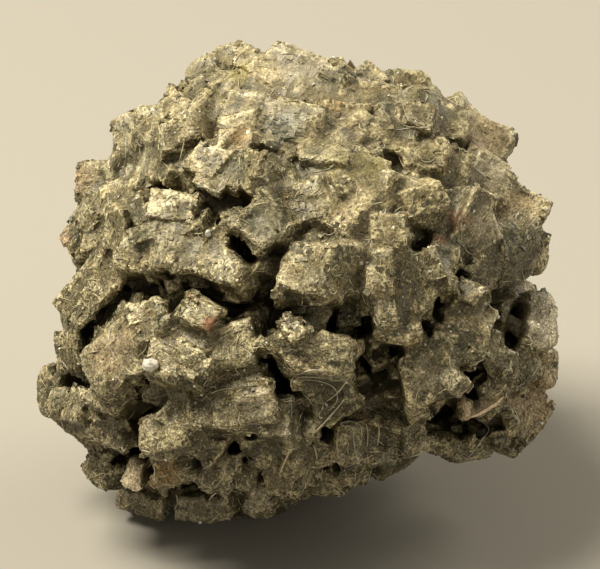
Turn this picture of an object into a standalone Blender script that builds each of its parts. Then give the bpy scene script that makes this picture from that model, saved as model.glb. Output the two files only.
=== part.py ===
"""Native arsenic: one ball of intergrown, nearly cubic crystals, about 20 mm across.

The ball is a lumpy body with more than two hundred rhombohedra grown out of it.
The crystals of the side that shows best are placed one by one. The others are
spread between them and over the rest of the ball by seeded loops. All of them are
joined in one solid, which is cut level underneath, where it rests.
"""

import math
import random

import bmesh
import bpy
from mathutils import Matrix, Vector

# The units: sizes are written in millimetres and angles in degrees
MM = 0.001
SEED = 36  # of the spread crystals, and of the small turns of the shown ones

# The ball
BALL_CENTRE_HEIGHT = 8.6  # above the flats that it rests on
FRONT_DEPTH = 8.8  # from the centre to the nearest skin
BACK_DEPTH = 8.9
CORE_SHARE = 0.84  # the body's size between the crystals, against the skin's
CORE_SUBDIVISIONS = 2

# The skin's radius around the direction of view, every 20 degrees, counted
# counterclockwise from the right
OUTLINE_RADII = (9.6, 9.5, 9.4, 9.1, 8.6, 9.1, 8.8, 8.9, 9.1,
                 8.9, 9.9, 10.4, 10.1, 8.9, 8.0, 7.5, 9.6, 10.2)

# The direction that the ball is seen from: level along +Y, raised by this angle
VIEW_RISE = 25.0
RIM_SWING = 32.0  # how far a crystal at the side rim turns away with the skin
RIM_LEAN_ABOVE = 26.0  # and how far one at the upper rim leans back
RIM_LEAN_BELOW = 24.0  # and how far one at the lower rim leans under
OVERHANG = 8.0  # every outer face leans back, so its lower edge stands over a pit
SHOWN_TURN = 8.0  # a shown crystal's own turn, at most, besides the listed one

# A crystal
SKEW = 5.0  # the cell isn't square: its edges meet at 85 and 95 degrees
LEAST_ROOT = 2.0  # depth of a crystal from its face into the body
ROOT_SHARE = 1.1  # depth against the face's longer side

# The crystals that show, each by its outer face: name, then its middle across
# and up from the ball's centre as seen, how proud it stands of the skin, width,
# height, swing to the right, lean downward, roll counterclockwise, cut corners
CROWN = (
    ("summit", 0.0, 7.4, 0.4, 3.3, 2.9, -6, 4, -25, 0),
    ("step on the summit", 0.75, 7.0, 0.55, 1.5, 1.7, 6, 4, -29, 0),
    ("knob by the summit", -2.35, 8.6, 0.0, 1.3, 1.3, 0, 10, 12, 0.2),
    ("pale knob by the summit", -1.75, 7.9, 0.4, 1.3, 1.7, -8, 5, -30, 0),
    ("shoulder knob", -3.5, 7.95, 0.0, 1.4, 1.4, -10, 5, 28, 0.2),
    ("leaning grey slab", -2.95, 6.9, 0.4, 0.9, 2.5, 10, 5, -36, 0),
    ("small shoulder grain", -4.35, 6.7, 0.1, 1.2, 1.2, -5, 0, -40, 0),
    ("second step", -0.95, 5.95, 0.6, 3.9, 2.0, -3, 2, -13, 0),
    ("ochre bump", -2.2, 5.35, 0.6, 1.6, 1.0, -6, 0, 6, 0),
    ("right end of the step", 1.5, 6.7, 0.5, 1.4, 1.2, 6, 2, -22, 0),
    ("ridge bump one", 1.5, 8.0, 0.0, 1.1, 1.1, 5, 6, 12, 0),
    ("ridge bump two", 2.6, 7.7, 0.0, 1.1, 1.1, -6, 6, 38, 0),
    ("ridge bump four", 4.2, 7.5, 0.1, 1.7, 1.3, -4, 5, -6, 0.15),
    ("olive block", 3.1, 6.8, 0.3, 2.0, 1.4, 4, 0, -6, 0),
    ("dark topped block", 4.7, 6.4, 0.6, 1.4, 1.8, 12, 22, -8, 0),
)

LEFT_SHOULDER = (
    ("far rounded lump", -6.0, 5.75, 0.3, 1.9, 1.9, -6, 6, 22, 0.25),
    ("left bump", -7.5, 3.9, 0.2, 1.6, 1.5, -8, 6, 4, 0),
    ("speckled block", -4.65, 4.85, 0.5, 2.0, 1.8, -12, 0, 14, 0.18),
    ("speckled block, lower end", -3.7, 4.3, 0.2, 1.3, 1.3, 8, 6, 36, 0),
    ("light edged block", -2.7, 4.25, 0.4, 1.7, 1.3, -4, 4, -22, 0.14),
    ("upper slanted slab", -7.1, 3.0, 0.4, 1.1, 2.4, -12, 4, -45, 0),
    ("lower slanted slab", -8.0, 2.2, 0.3, 1.2, 2.1, -14, 8, -42, 0),
    ("inner bump", -6.2, 2.4, 0.3, 1.6, 1.5, 4, 4, 30, 0),
    ("ringed crystal", -4.7, 2.2, 0.5, 1.9, 1.7, 0, 0, 12, 0.27),
    ("long slanted slab", -7.35, 0.2, 0.7, 1.9, 3.7, -14, 0, -38, 0),
    ("block over the slot", -5.9, 1.2, 0.5, 1.6, 1.2, -5, 6, -14, 0),
    ("roof over the pits", -4.3, 1.2, 0.6, 1.9, 1.4, -4, -4, -2, 0.12),
)

MIDDLE = (
    ("corner down cube", -1.2, 2.2, 0.7, 1.8, 1.8, 4, -10, 46, 0),
    ("block below the cube", -2.6, 0.95, 0.6, 1.9, 1.7, -6, -6, -24, 0.15),
    ("upright edged block", 2.0, 0.2, 0.7, 2.3, 2.5, 44, 4, -5, 0),
    ("left half of the upright block", 0.2, 0.5, 0.7, 1.9, 2.2, -22, -4, -4, 0),
    ("bright upright slab", 3.15, -0.2, 0.9, 0.8, 2.7, -16, -4, 8, 0),
    ("dark rounded block", 4.4, 0.1, 0.7, 1.7, 2.1, 8, 4, -6, 0.22),
    ("slanted light slab", 5.35, 0.45, 0.7, 0.7, 1.7, -20, -4, 42, 0),
    ("block over the slab", 3.2, 1.6, 0.4, 1.9, 1.1, 2, 6, -14, 0),
    ("pale band", -1.0, 3.75, 0.3, 1.9, 1.1, 4, -2, 10, 0.15),
    ("block by the hole", 1.2, 4.3, 0.5, 1.6, 1.1, 0, 0, 4, 0),
    ("small block of the middle", 0.35, 3.1, 0.4, 1.4, 1.6, -8, -4, 20, 0),
    ("turned block of the middle", 1.7, 2.6, 0.5, 1.4, 1.5, 6, 0, -26, 0),
)

RIGHT_SHOULDER = (
    ("pale granular block", 0.9, 5.3, 0.5, 1.9, 1.2, 0, -8, 5, 0),
    ("pale block behind", 2.3, 5.7, 0.4, 1.4, 1.3, 4, 0, 26, 0),
    ("olive upright block", 3.7, 5.5, 0.5, 1.3, 1.6, 8, 0, -8, 0),
    ("pointed yellow block", 2.6, 4.0, 0.6, 1.6, 1.6, 4, -8, 46, 0),
    ("crescent block", 4.8, 4.7, 0.6, 1.7, 1.3, 8, 4, 8, 0.22),
    ("streaked block", 6.0, 4.2, 0.4, 1.2, 1.8, 0, 0, -20, 0),
    ("ridged block", 7.3, 3.9, 0.4, 1.6, 1.5, -4, 0, -30, 0),
    ("big dome", 6.9, 5.4, 0.5, 2.5, 2.1, -4, 6, -22, 0.25),
    ("yellow corner of the dome", 5.75, 6.05, 0.4, 1.3, 1.2, -6, 4, -10, 0),
    ("pale face", 8.1, 2.7, 0.5, 2.1, 2.2, -10, -2, -32, 0),
    ("light patch", 6.8, 2.2, 0.5, 1.2, 1.6, -8, -6, 15, 0),
    ("brown block", 5.75, 2.5, 0.3, 1.3, 1.4, 6, 0, -10, 0),
    ("pale edged block", 4.5, 2.8, 0.5, 1.5, 1.5, 0, 0, 34, 0),
    ("dark block", 3.2, 2.8, 0.3, 1.5, 1.5, 10, 4, 5, 0),
    ("red edged block", 5.5, 1.4, 0.4, 1.4, 1.1, 10, 0, -30, 0),
    ("shaded flank", 8.3, 0.7, 0.1, 2.1, 1.7, 14, 26, 8, 0),
    ("shaded flank behind", 9.0, 1.3, -0.3, 1.4, 1.6, 10, 10, -14, 0),
    ("shaded inner block", 6.9, 0.5, 0.2, 1.5, 1.5, 10, 22, -12, 0),
    ("slanting ledge", 6.4, -0.9, 0.6, 2.1, 1.2, -4, -4, -36, 0),
)

LOWER_MIDDLE = (
    ("table of the wedge", 0.6, -2.45, 1.0, 3.3, 1.5, 0, -14, 0, 0),
    ("wedge", 0.8, -3.8, 0.6, 2.5, 2.5, 8, 8, 42, 0),
    ("slab over the black pit", 3.8, -1.6, 0.7, 1.7, 0.9, 0, -12, 14, 0),
    ("light edged lump", 4.9, -3.2, 0.8, 2.0, 2.1, -6, -6, 22, 0.15),
    ("block of the right", 6.1, -1.95, 0.6, 1.9, 1.5, 0, -4, -14, 0),
    ("big lit block", -1.9, -4.1, 0.8, 2.5, 2.0, -8, -12, 12, 0),
    ("left end of the lit block", -3.4, -4.4, 0.4, 1.4, 1.5, -8, -4, 22, 0),
    ("pale triangle", -0.35, -5.2, 0.8, 0.9, 0.9, -10, -10, 47, 0),
    ("thin upright slab", -0.35, -6.35, 0.6, 0.6, 1.5, -14, 0, -6, 0),
    ("broken slab beside it", -1.15, -6.1, 0.2, 0.8, 1.2, 0, 0, -24, 0),
    ("framed cell one", 2.0, -5.8, 0.7, 1.1, 1.6, 0, 0, -3, 0),
    ("framed cell two", 3.0, -5.45, 0.5, 0.9, 1.5, -4, 0, 3, 0),
    ("framed cell three", 4.0, -5.35, 0.5, 1.2, 1.3, 6, 0, 10, 0),
    ("small cell", 0.8, -6.2, 0.4, 0.8, 1.1, -6, 0, 18, 0),
    ("ring of the bottom", 0.35, -7.1, 0.2, 1.3, 0.9, 0, 6, -4, 0),
    ("bottom lump one", 2.35, -6.95, -0.1, 1.0, 1.0, 0, 0, 14, 0),
    ("bottom lump two", 3.4, -6.3, 0.0, 1.2, 0.8, 4, 6, -12, 0),
    ("bottom lump three", 1.3, -7.4, -0.1, 1.6, 1.0, 0, 10, -4, 0),
    ("bottom lump four", -0.1, -7.75, 0.0, 1.3, 0.9, 4, 10, 6, 0),
)

RIGHT_LOBE = (
    ("slab in the recess", 7.3, -3.45, 0.3, 0.8, 1.4, -14, 0, 12, 0),
    ("ledge of the recess, left", 6.25, -4.45, 0.1, 0.5, 1.1, -10, 0, 16, 0),
    ("ledge of the recess, right", 7.1, -4.4, 0.2, 1.5, 0.5, 0, -10, 24, 0),
    ("dark block over the recess", 7.6, -2.5, 0.4, 1.4, 1.2, 10, 0, -36, 0),
    ("speckled block of the lobe", 8.45, -2.95, 0.4, 1.4, 1.6, 0, 0, 20, 0),
    ("far lobe", 9.15, -1.3, 0.1, 1.3, 2.1, -6, 0, 5, 0.22),
    ("edge of the lobe", 9.5, -3.1, 0.0, 0.9, 1.4, 0, 0, -8, 0.15),
    ("great block of the lobe", 8.7, -4.75, 0.5, 2.0, 2.1, 2, 0, -36, 0.12),
    ("curved block of the lobe", 7.5, -5.1, 0.3, 1.3, 1.1, -10, -4, 15, 0),
    ("underside block one", 8.2, -6.0, 0.0, 1.7, 1.2, 8, 14, -22, 0),
    ("underside block two", 6.7, -6.15, 0.0, 1.6, 1.0, 0, 14, 4, 0),
    ("underside block three", 5.3, -6.0, 0.0, 1.4, 0.8, 0, 14, -6, 0),
)

LOWER_LEFT = (
    ("tan face", -6.7, -2.6, 0.7, 2.6, 2.2, -10, -4, 36, 0),
    ("outer block of the face", -8.5, -2.35, 0.3, 1.5, 1.6, -8, 0, 8, 0),
    ("lower block of the face", -7.0, -4.0, 0.5, 1.6, 1.2, -6, -6, -22, 0),
    ("grey block one", -5.3, -1.3, 0.4, 1.6, 1.4, -6, -6, 30, 0),
    ("grey block two", -4.1, -2.35, 0.5, 2.3, 2.0, -4, -4, -12, 0),
    ("grey block three", -2.35, -2.2, 0.4, 1.8, 1.7, 4, 0, 12, 0),
    ("grey block four", -3.5, -0.9, 0.4, 1.5, 1.2, -6, -4, -20, 0),
    ("edge lump", -9.45, -4.05, 0.1, 1.1, 1.9, -4, 4, 8, 0.22),
    ("pale topped block", -8.2, -4.5, 0.5, 2.1, 1.1, -6, -8, -10, 0),
    ("sloping layer one", -8.1, -5.5, 0.1, 1.8, 0.8, 0, 14, -38, 0),
    ("sloping layer two", -7.0, -5.55, 0.3, 1.7, 0.8, 4, 10, -22, 0),
    ("block with strings", -4.8, -5.25, 0.6, 2.2, 1.5, -6, -4, 12, 0),
    ("grey corner", -3.35, -5.8, 0.5, 1.4, 1.4, 4, -2, 42, 0),
    ("brown block of the bottom", -7.3, -6.7, 0.1, 1.6, 1.5, -8, 4, -34, 0),
    ("tan tooth", -6.05, -7.0, 0.4, 0.8, 1.3, -10, 0, -20, 0),
    ("pointed tan tooth", -4.8, -6.85, 0.4, 1.0, 1.5, -4, 0, 24, 0),
    ("small block of the bottom", -3.0, -7.0, 0.4, 1.0, 1.3, 4, 0, -10, 0),
    ("tan block of the bottom", -2.05, -7.0, 0.3, 1.1, 1.1, 0, 0, 12, 0),
    ("pale block of the bottom", -1.3, -7.95, 0.3, 1.1, 1.5, -8, 0, -15, 0),
    ("dark bar one", -5.95, -8.3, 0.1, 2.3, 1.1, -4, 14, -10, 0),
    ("dark bar two", -3.5, -8.35, 0.1, 2.2, 1.1, 0, 14, 2, 0),
)

SHOWN_CRYSTALS = (CROWN + LEFT_SHOULDER + MIDDLE + RIGHT_SHOULDER
                  + LOWER_MIDDLE + RIGHT_LOBE + LOWER_LEFT)

# The pits between them: name, then the mouth's middle across and up, width,
# height, roll counterclockwise and depth below the skin
PITS = (
    ("over the ringed crystal", -5.0, 3.4, 1.1, 0.45, 25, 1.6),
    ("oval of the upper middle", -2.2, 3.05, 1.5, 0.6, 8, 1.5),
    ("under the oval", -3.2, 2.35, 1.2, 0.5, -12, 1.3),
    ("left below the cube", -1.85, 1.3, 1.5, 0.5, -48, 2.2),
    ("right below the cube", -0.7, 1.05, 1.2, 0.35, 22, 2.0),
    ("hole of the upper middle", 0.05, 4.55, 0.45, 0.35, -20, 1.8),
    ("oval beside it", -0.9, 4.65, 1.0, 0.4, -8, 1.2),
    ("hole of the right", 4.4, 1.9, 0.7, 0.35, -35, 1.8),
    ("crescent", 4.7, 3.95, 1.2, 0.3, -14, 1.5),
    ("crack under the roof", -3.7, 0.2, 3.3, 0.3, -13, 2.0),
    ("left hole under the roof", -6.0, -0.1, 0.8, 0.8, -25, 2.4),
    ("right hole under the roof", -4.6, -0.15, 0.6, 0.9, 5, 2.4),
    ("slot of the slanted slab", -7.0, -1.1, 2.7, 0.5, 42, 2.4),
    ("cave", 0.4, -1.25, 3.1, 0.9, -3, 3.2),
    ("behind the bright slab", 2.3, -1.2, 0.8, 1.5, 10, 2.8),
    ("black pit", 3.4, -2.5, 1.1, 0.7, 0, 3.0),
    ("crack below the black pit", 2.95, -3.5, 2.4, 0.5, -58, 2.8),
    ("crack left of the wedge", -0.45, -3.9, 3.2, 0.6, -61, 3.0),
    ("under the white grain", -5.45, -3.35, 0.5, 0.45, 0, 1.8),
    ("slot by the white grain", -5.75, -4.0, 0.9, 0.3, -45, 1.8),
    ("by the red grain", -2.4, -1.15, 0.5, 0.7, -10, 1.8),
    ("line of the right", 5.65, -0.3, 1.3, 0.35, 42, 2.2),
    ("recess, left", 5.4, -4.9, 1.2, 1.4, -10, 3.2),
    ("recess, upper", 6.5, -3.5, 1.5, 0.7, 62, 3.0),
    ("recess, lower", 6.7, -5.4, 1.3, 0.7, 0, 3.2),
    ("under the shaded flank", 8.15, -1.5, 0.7, 1.9, -12, 3.0),
    ("crack of the lobe", 8.65, -3.9, 1.1, 0.3, 45, 2.0),
    ("left pit of the bottom", -6.6, -6.55, 0.6, 0.5, 0, 2.2),
    ("second pit of the bottom", -5.4, -6.9, 0.45, 0.7, 10, 2.4),
    ("third pit of the bottom", -3.9, -6.4, 1.1, 0.35, -18, 2.2),
    ("fourth pit of the bottom", -2.3, -6.1, 0.5, 1.1, -20, 2.6),
    ("under the lit block", -2.3, -5.35, 2.2, 0.4, -8, 2.2),
)
PIT_RISE = 2.0  # how far the cutting shape stands over the skin
PIT_MOUTH_SHARE = 1.15  # its width there
PIT_FLOOR_SHARE = 0.75  # and at the floor

# The crystals that are spread by a loop, over evenly spaced directions
SHOWN_LIMIT = 0.12  # a direction that points this much at the eye is on the shown side
SPREAD_TURN = 25.0  # how far a crystal swings and leans off the outward direction
SPREAD_ROLL = 90.0  # how far it rolls, after which it looks the same again
SPREAD_HEIGHT_SHARES = (0.6, 1.1)  # its height against its width

# Those between the shown ones: all the ball's directions, the sink of the outer
# faces under the skin in the upper and in the lower half, and the widths
GAP_DIRECTIONS = 90
GAP_SINK_ABOVE = 0.35
GAP_SINK_BELOW = 1.0
GAP_SIZES = (1.6, 2.6)

# Those of the back, the sides and the underside: the same, with the sink at the
# middle of the back and at the rim, where they would show past the outline
REST_DIRECTIONS = 110
REST_SINK_BEHIND = (-0.5, 0.5)
REST_SINK_AT_RIM = 0.95
REST_SIZES = (2.2, 4.0)

# Corners cut from a crystal's outer face, against its sides: one of these
SHOWN_CUTS = (0, 0, 0.12, 0.16)
SPREAD_CUTS = (0, 0, 0.14)

# The crystals that it rests on, whose outer faces are cut level: their places
FEET = ((-2.6, -1.6), (1.6, 2.9), (-2.5, 4.0))
FOOT_SIZES = (2.5, 2.9)
FOOT_TURN = 12.0
FOOT_DEPTH = 0.35  # how far their faces reach below the cut
FLOOR_CUTTER_SIZE = 30.0

# The finished mesh
FLAT_ANGLE = math.radians(0.5)  # faces that meet at less than this are one face
SHORT_EDGE = 0.04  # an edge shorter than this shrinks to a point


def view_axes():
    """Return the directions right, up and towards the eye of the reference view."""
    rise = math.radians(VIEW_RISE)
    right = Vector((1.0, 0.0, 0.0))
    up = Vector((0.0, math.sin(rise), math.cos(rise)))
    toward = Vector((0.0, -math.cos(rise), math.sin(rise)))
    return Matrix((right, up, toward)).transposed()


def outline_radius(angle):
    """Radius of the skin at an angle around the view, smooth between the listed ones."""
    step = 2 * math.pi / len(OUTLINE_RADII)
    place = (angle / step) % len(OUTLINE_RADII)
    first = int(place)
    second = (first + 1) % len(OUTLINE_RADII)
    ease = 0.5 - 0.5 * math.cos(math.pi * (place - first))
    return OUTLINE_RADII[first] * (1 - ease) + OUTLINE_RADII[second] * ease


def skin_depth(across, up):
    """Depth of the skin towards the eye at a place in the view, 0 at the rim."""
    radius = outline_radius(math.atan2(up, across))
    inside = 1 - (across * across + up * up) / (radius * radius)
    return FRONT_DEPTH * math.sqrt(max(inside, 0.0))


def skin_point(direction):
    """The skin's point in a direction from the centre, in view axes."""
    side = math.hypot(direction.x, direction.y)
    radius = outline_radius(math.atan2(direction.y, direction.x))
    depth = FRONT_DEPTH if direction.z > 0 else BACK_DEPTH
    return direction / math.sqrt((side / radius) ** 2 + (direction.z / depth) ** 2)


def turn(swing, lean, roll):
    """Rotation of a crystal: roll in the view, then lean downward, then swing right."""
    rolled = Matrix.Rotation(math.radians(roll), 3, "Z")
    leant = Matrix.Rotation(math.radians(lean), 3, "X")
    swung = Matrix.Rotation(math.radians(swing), 3, "Y")
    return swung @ leant @ rolled


def crystal_points(width, height, root, cut):
    """Corners of a rhombohedron whose outer face is centred on the origin, below it."""
    skew = math.sin(math.radians(SKEW))
    points = []
    for x in (-1, 1):
        for y in (-1, 1):
            for z in (-1, 1):
                corners = [(1, 1, 1)]
                if cut > 0 and z > 0:
                    kept = 1 - 2 * cut
                    corners = [(kept, 1, 1), (1, kept, 1), (1, 1, kept)]
                for corner in corners:
                    i = x * corner[0] * width / 2
                    j = y * corner[1] * height / 2
                    k = z * corner[2] * root / 2 - root / 2
                    points.append(Vector((i + skew * j, j + skew * k, k + skew * i)))
    return points


def add_hull(shape, points):
    """Add the convex solid around the points to a bmesh, facing outward."""
    piece = bmesh.new()
    for point in points:
        piece.verts.new(point)
    bmesh.ops.convex_hull(piece, input=piece.verts)
    bmesh.ops.dissolve_limit(piece, angle_limit=FLAT_ANGLE, verts=piece.verts, edges=piece.edges)
    bmesh.ops.recalc_face_normals(piece, faces=piece.faces)
    copied = {vert: shape.verts.new(vert.co) for vert in piece.verts}
    for face in piece.faces:
        shape.faces.new([copied[vert] for vert in face.verts])
    piece.free()


def add_placed_hull(shape, place, rotation, points):
    """Add the convex solid around the points, moved to a place and turned in view axes."""
    axes = view_axes()
    centre = Vector((0, 0, BALL_CENTRE_HEIGHT))
    add_hull(shape, [(centre + axes @ (place + rotation @ point)) * MM for point in points])


def add_crystal(shape, place, rotation, width, height, cut):
    """Add a crystal by its outer face's middle and turn, both in view axes."""
    root = max(LEAST_ROOT, ROOT_SHARE * max(width, height))
    add_placed_hull(shape, place, rotation, crystal_points(width, height, root, cut))


def add_shown_crystals(shape, dice):
    """Add the crystals of the side that shows, turned a little with the skin."""
    for _, across, up, proud, width, height, swing, lean, roll, cut in SHOWN_CRYSTALS:
        radius = outline_radius(math.atan2(up, across))
        place = Vector((across, up, skin_depth(across, up) + proud))
        rim_lean = RIM_LEAN_ABOVE if up > 0 else RIM_LEAN_BELOW
        lean_with_skin = lean - OVERHANG - rim_lean * up / radius
        swing_with_skin = swing + RIM_SWING * across / radius
        own_swing = dice.uniform(-SHOWN_TURN, SHOWN_TURN)
        own_lean = dice.uniform(-SHOWN_TURN, SHOWN_TURN)
        rotation = turn(swing_with_skin + own_swing, lean_with_skin + own_lean, roll)
        add_crystal(shape, place, rotation, width, height, cut or dice.choice(SHOWN_CUTS))


def spread_directions(count):
    """Evenly spread directions on a sphere, along a spiral of golden turns."""
    golden_turn = math.pi * (3 - math.sqrt(5))
    for index in range(count):
        z = 1 - (2 * index + 1) / count
        side = math.sqrt(1 - z * z)
        yield Vector((side * math.cos(index * golden_turn), side * math.sin(index * golden_turn), z))


def add_spread_crystal(shape, dice, direction, sink, sizes):
    """Add one crystal of the seeded ones, its outer face turned roughly outward."""
    point = skin_point(direction)
    place = point - direction * sink
    outward = Vector((0, 0, 1)).rotation_difference(direction).to_matrix()
    swing = dice.uniform(-SPREAD_TURN, SPREAD_TURN)
    lean = dice.uniform(-SPREAD_TURN, SPREAD_TURN)
    rotation = outward @ turn(swing, lean, dice.uniform(0, SPREAD_ROLL))
    width = dice.uniform(*sizes)
    height = width * dice.uniform(*SPREAD_HEIGHT_SHARES)
    cut = dice.choice(SPREAD_CUTS)
    add_crystal(shape, place, rotation, width, height, cut)


def add_gap_crystals(shape, dice):
    """Add low crystals between the shown ones, deeper in the lower half."""
    for direction in spread_directions(GAP_DIRECTIONS):
        if direction.z > SHOWN_LIMIT:
            sink = GAP_SINK_ABOVE if direction.y > 0 else GAP_SINK_BELOW
            add_spread_crystal(shape, dice, direction, sink, GAP_SIZES)


def add_rest_crystals(shape, dice):
    """Add larger crystals over the back, the sides and the underside, low at the rim."""
    for direction in spread_directions(REST_DIRECTIONS):
        if direction.z <= SHOWN_LIMIT:
            behind = abs(direction.z)
            sink = REST_SINK_AT_RIM * (1 - behind) + dice.uniform(*REST_SINK_BEHIND) * behind
            add_spread_crystal(shape, dice, direction, sink, REST_SIZES)


def add_foot_crystals(shape, dice):
    """Add the crystals underneath that the ball rests on."""
    to_view = view_axes().transposed()
    centre = Vector((0, 0, BALL_CENTRE_HEIGHT))
    for x, y in FEET:
        foot = Vector((x, y, -FOOT_DEPTH))
        own_turn = turn(0, 0, dice.uniform(-FOOT_TURN, FOOT_TURN))
        facing_down = Matrix.Rotation(math.pi, 3, "X") @ own_turn
        width = dice.uniform(*FOOT_SIZES)
        height = dice.uniform(*FOOT_SIZES)
        add_crystal(shape, to_view @ (foot - centre), to_view @ facing_down, width, height, 0)


def pit_points(width, height, depth):
    """Corners of a narrowing prism from above the skin down to the pit's floor."""
    points = []
    for z, share in ((PIT_RISE, PIT_MOUTH_SHARE), (-depth, PIT_FLOOR_SHARE)):
        for x in (-1, 1):
            for y in (-1, 1):
                points.append(Vector((x * share * width / 2, y * share * height / 2, z)))
    return points


def make_pits():
    """All the pits' cutting shapes as one guide."""
    shape = bmesh.new()
    for _, across, up, width, height, roll, depth in PITS:
        place = Vector((across, up, skin_depth(across, up)))
        add_placed_hull(shape, place, turn(0, 0, roll), pit_points(width, height, depth))
    return make_guide("pits_guide", shape)


def new_object(name, shape):
    """Make an object of a bmesh and free the bmesh."""
    mesh = bpy.data.meshes.new(name)
    shape.to_mesh(mesh)
    shape.free()
    result = bpy.data.objects.new(name, mesh)
    bpy.context.scene.collection.objects.link(result)
    return result


def make_core():
    """The body that the crystals grow from: the skin's shape, smaller."""
    shape = bmesh.new()
    bmesh.ops.create_icosphere(shape, subdivisions=CORE_SUBDIVISIONS, radius=1.0)
    axes = view_axes()
    centre = Vector((0, 0, BALL_CENTRE_HEIGHT))
    for vert in shape.verts:
        point = skin_point(vert.co.normalized()) * CORE_SHARE
        vert.co = (centre + axes @ point) * MM
    return new_object("arsenic_crystal_cluster", shape)


def make_guide(name, shape):
    """A shape that is only added to or cut from the cluster."""
    guide = new_object(name, shape)
    guide.hide_render = True
    guide.display_type = "WIRE"
    return guide


def make_crystals():
    """All the crystals, overlapping, as one guide."""
    dice = random.Random(SEED)
    shape = bmesh.new()
    add_shown_crystals(shape, dice)
    add_gap_crystals(shape, dice)
    add_rest_crystals(shape, dice)
    add_foot_crystals(shape, dice)
    return make_guide("crystals_guide", shape)


def make_floor_cutter():
    """A box under the ball whose top is the flat that the ball rests on."""
    size = FLOOR_CUTTER_SIZE * MM
    shape = bmesh.new()
    bmesh.ops.create_cube(shape, size=size)
    bmesh.ops.translate(shape, verts=shape.verts, vec=(0, 0, -size / 2))
    return make_guide("floor_cutter", shape)


def add_boolean(target, operand, operation):
    """Put a boolean modifier on an object."""
    modifier = target.modifiers.new(operand.name, "BOOLEAN")
    modifier.operation = operation
    modifier.solver = "EXACT"
    modifier.object = operand
    modifier.use_self = True


def shells(shape):
    """The vertices of each connected shell of a bmesh."""
    left = set(shape.verts)
    found = []
    while left:
        shell = set()
        front = {next(iter(left))}
        while front:
            shell |= front
            front = {edge.other_vert(vert) for vert in front for edge in vert.link_edges} - shell
        left -= shell
        found.append(shell)
    return found


def neighbours(vert):
    """The vertices joined to one by an edge."""
    return {edge.other_vert(vert) for edge in vert.link_edges}


def collapse_short_edges(shape):
    """Shrink each very short edge of a closed triangle mesh to a point.

    An edge is left alone where its ends share more than two neighbours, because
    the mesh would then pinch itself.
    """
    for edge in sorted(shape.edges, key=lambda edge: edge.calc_length()):
        if not edge.is_valid or edge.calc_length() > SHORT_EDGE * MM:
            continue
        kept, merged = edge.verts
        if len(neighbours(kept) & neighbours(merged)) == 2:
            bmesh.ops.pointmerge(shape, verts=[kept, merged], merge_co=kept.co.copy())


def centre_over_origin(shape):
    """Move a bmesh sideways, so that the middle of its box is above the origin."""
    xs = [vert.co.x for vert in shape.verts]
    ys = [vert.co.y for vert in shape.verts]
    shift = Vector((-(min(xs) + max(xs)) / 2, -(min(ys) + max(ys)) / 2, 0))
    bmesh.ops.translate(shape, verts=shape.verts, vec=shift)
    print("moved by", [round(value / MM, 3) for value in shift], "mm")


def settle(target):
    """Apply an object's cuts, merge what is flat and keep the largest shell alone."""
    graph = bpy.context.evaluated_depsgraph_get()
    mesh = bpy.data.meshes.new_from_object(target.evaluated_get(graph))
    target.modifiers.clear()
    shape = bmesh.new()
    shape.from_mesh(mesh)
    largest = max(shells(shape), key=len)
    extra = [vert for vert in shape.verts if vert not in largest]
    bmesh.ops.delete(shape, geom=extra, context="VERTS")
    bmesh.ops.dissolve_limit(shape, angle_limit=FLAT_ANGLE, verts=shape.verts, edges=shape.edges)
    bmesh.ops.triangulate(shape, faces=shape.faces)
    collapse_short_edges(shape)
    centre_over_origin(shape)
    shape.to_mesh(mesh)
    shape.free()
    target.data = mesh


def arsenic_material():
    """Tarnished arsenic: dull dark grey with an olive and tan bloom."""
    material = bpy.data.materials.new("tarnished_arsenic")
    material.use_nodes = True
    shader = material.node_tree.nodes["Principled BSDF"]
    shader.inputs["Base Color"].default_value = (0.17, 0.15, 0.105, 1)
    shader.inputs["Metallic"].default_value = 0.25
    shader.inputs["Roughness"].default_value = 0.6
    return material


def main():
    for existing in list(bpy.data.objects):
        bpy.data.objects.remove(existing, do_unlink=True)
    cluster = make_core()
    add_boolean(cluster, make_crystals(), "UNION")
    add_boolean(cluster, make_pits(), "DIFFERENCE")
    add_boolean(cluster, make_floor_cutter(), "DIFFERENCE")
    settle(cluster)
    cluster.data.materials.append(arsenic_material())


main()
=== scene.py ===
# %% [markdown]
# # A ball of native arsenic
# Native arsenic often grows as a ball of crystals that are nearly cubes: each edge
# meets the next at 85 or 95 degrees. The metal tarnishes to dark grey and olive, and
# old specimens carry pale tan dust, lint and stray grains. The solid frame already
# holds the large crystals and the deep pits. This lesson adds what is smaller: the
# middling crystals that break up each large face, worn edges, the scaly crust, the
# dust and the lint. It starts by loading the frame.

# %% Load the solid frame
import math

import bmesh
import bpy
import numpy as np
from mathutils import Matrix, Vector
from mathutils.bvhtree import BVHTree


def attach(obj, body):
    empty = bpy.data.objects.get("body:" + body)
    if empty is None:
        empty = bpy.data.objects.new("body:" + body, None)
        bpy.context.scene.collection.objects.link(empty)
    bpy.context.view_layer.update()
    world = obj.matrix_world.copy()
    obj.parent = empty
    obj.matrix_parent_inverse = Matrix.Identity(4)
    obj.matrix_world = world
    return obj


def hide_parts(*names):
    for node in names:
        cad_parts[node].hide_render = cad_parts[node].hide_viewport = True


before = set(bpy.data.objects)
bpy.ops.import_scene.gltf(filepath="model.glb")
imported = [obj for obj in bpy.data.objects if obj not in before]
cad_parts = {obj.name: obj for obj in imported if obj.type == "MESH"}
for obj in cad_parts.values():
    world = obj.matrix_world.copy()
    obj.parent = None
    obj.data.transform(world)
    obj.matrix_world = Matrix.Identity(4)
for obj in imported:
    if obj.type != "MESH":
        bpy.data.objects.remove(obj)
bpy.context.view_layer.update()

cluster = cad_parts["arsenic_crystal_cluster"]

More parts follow.
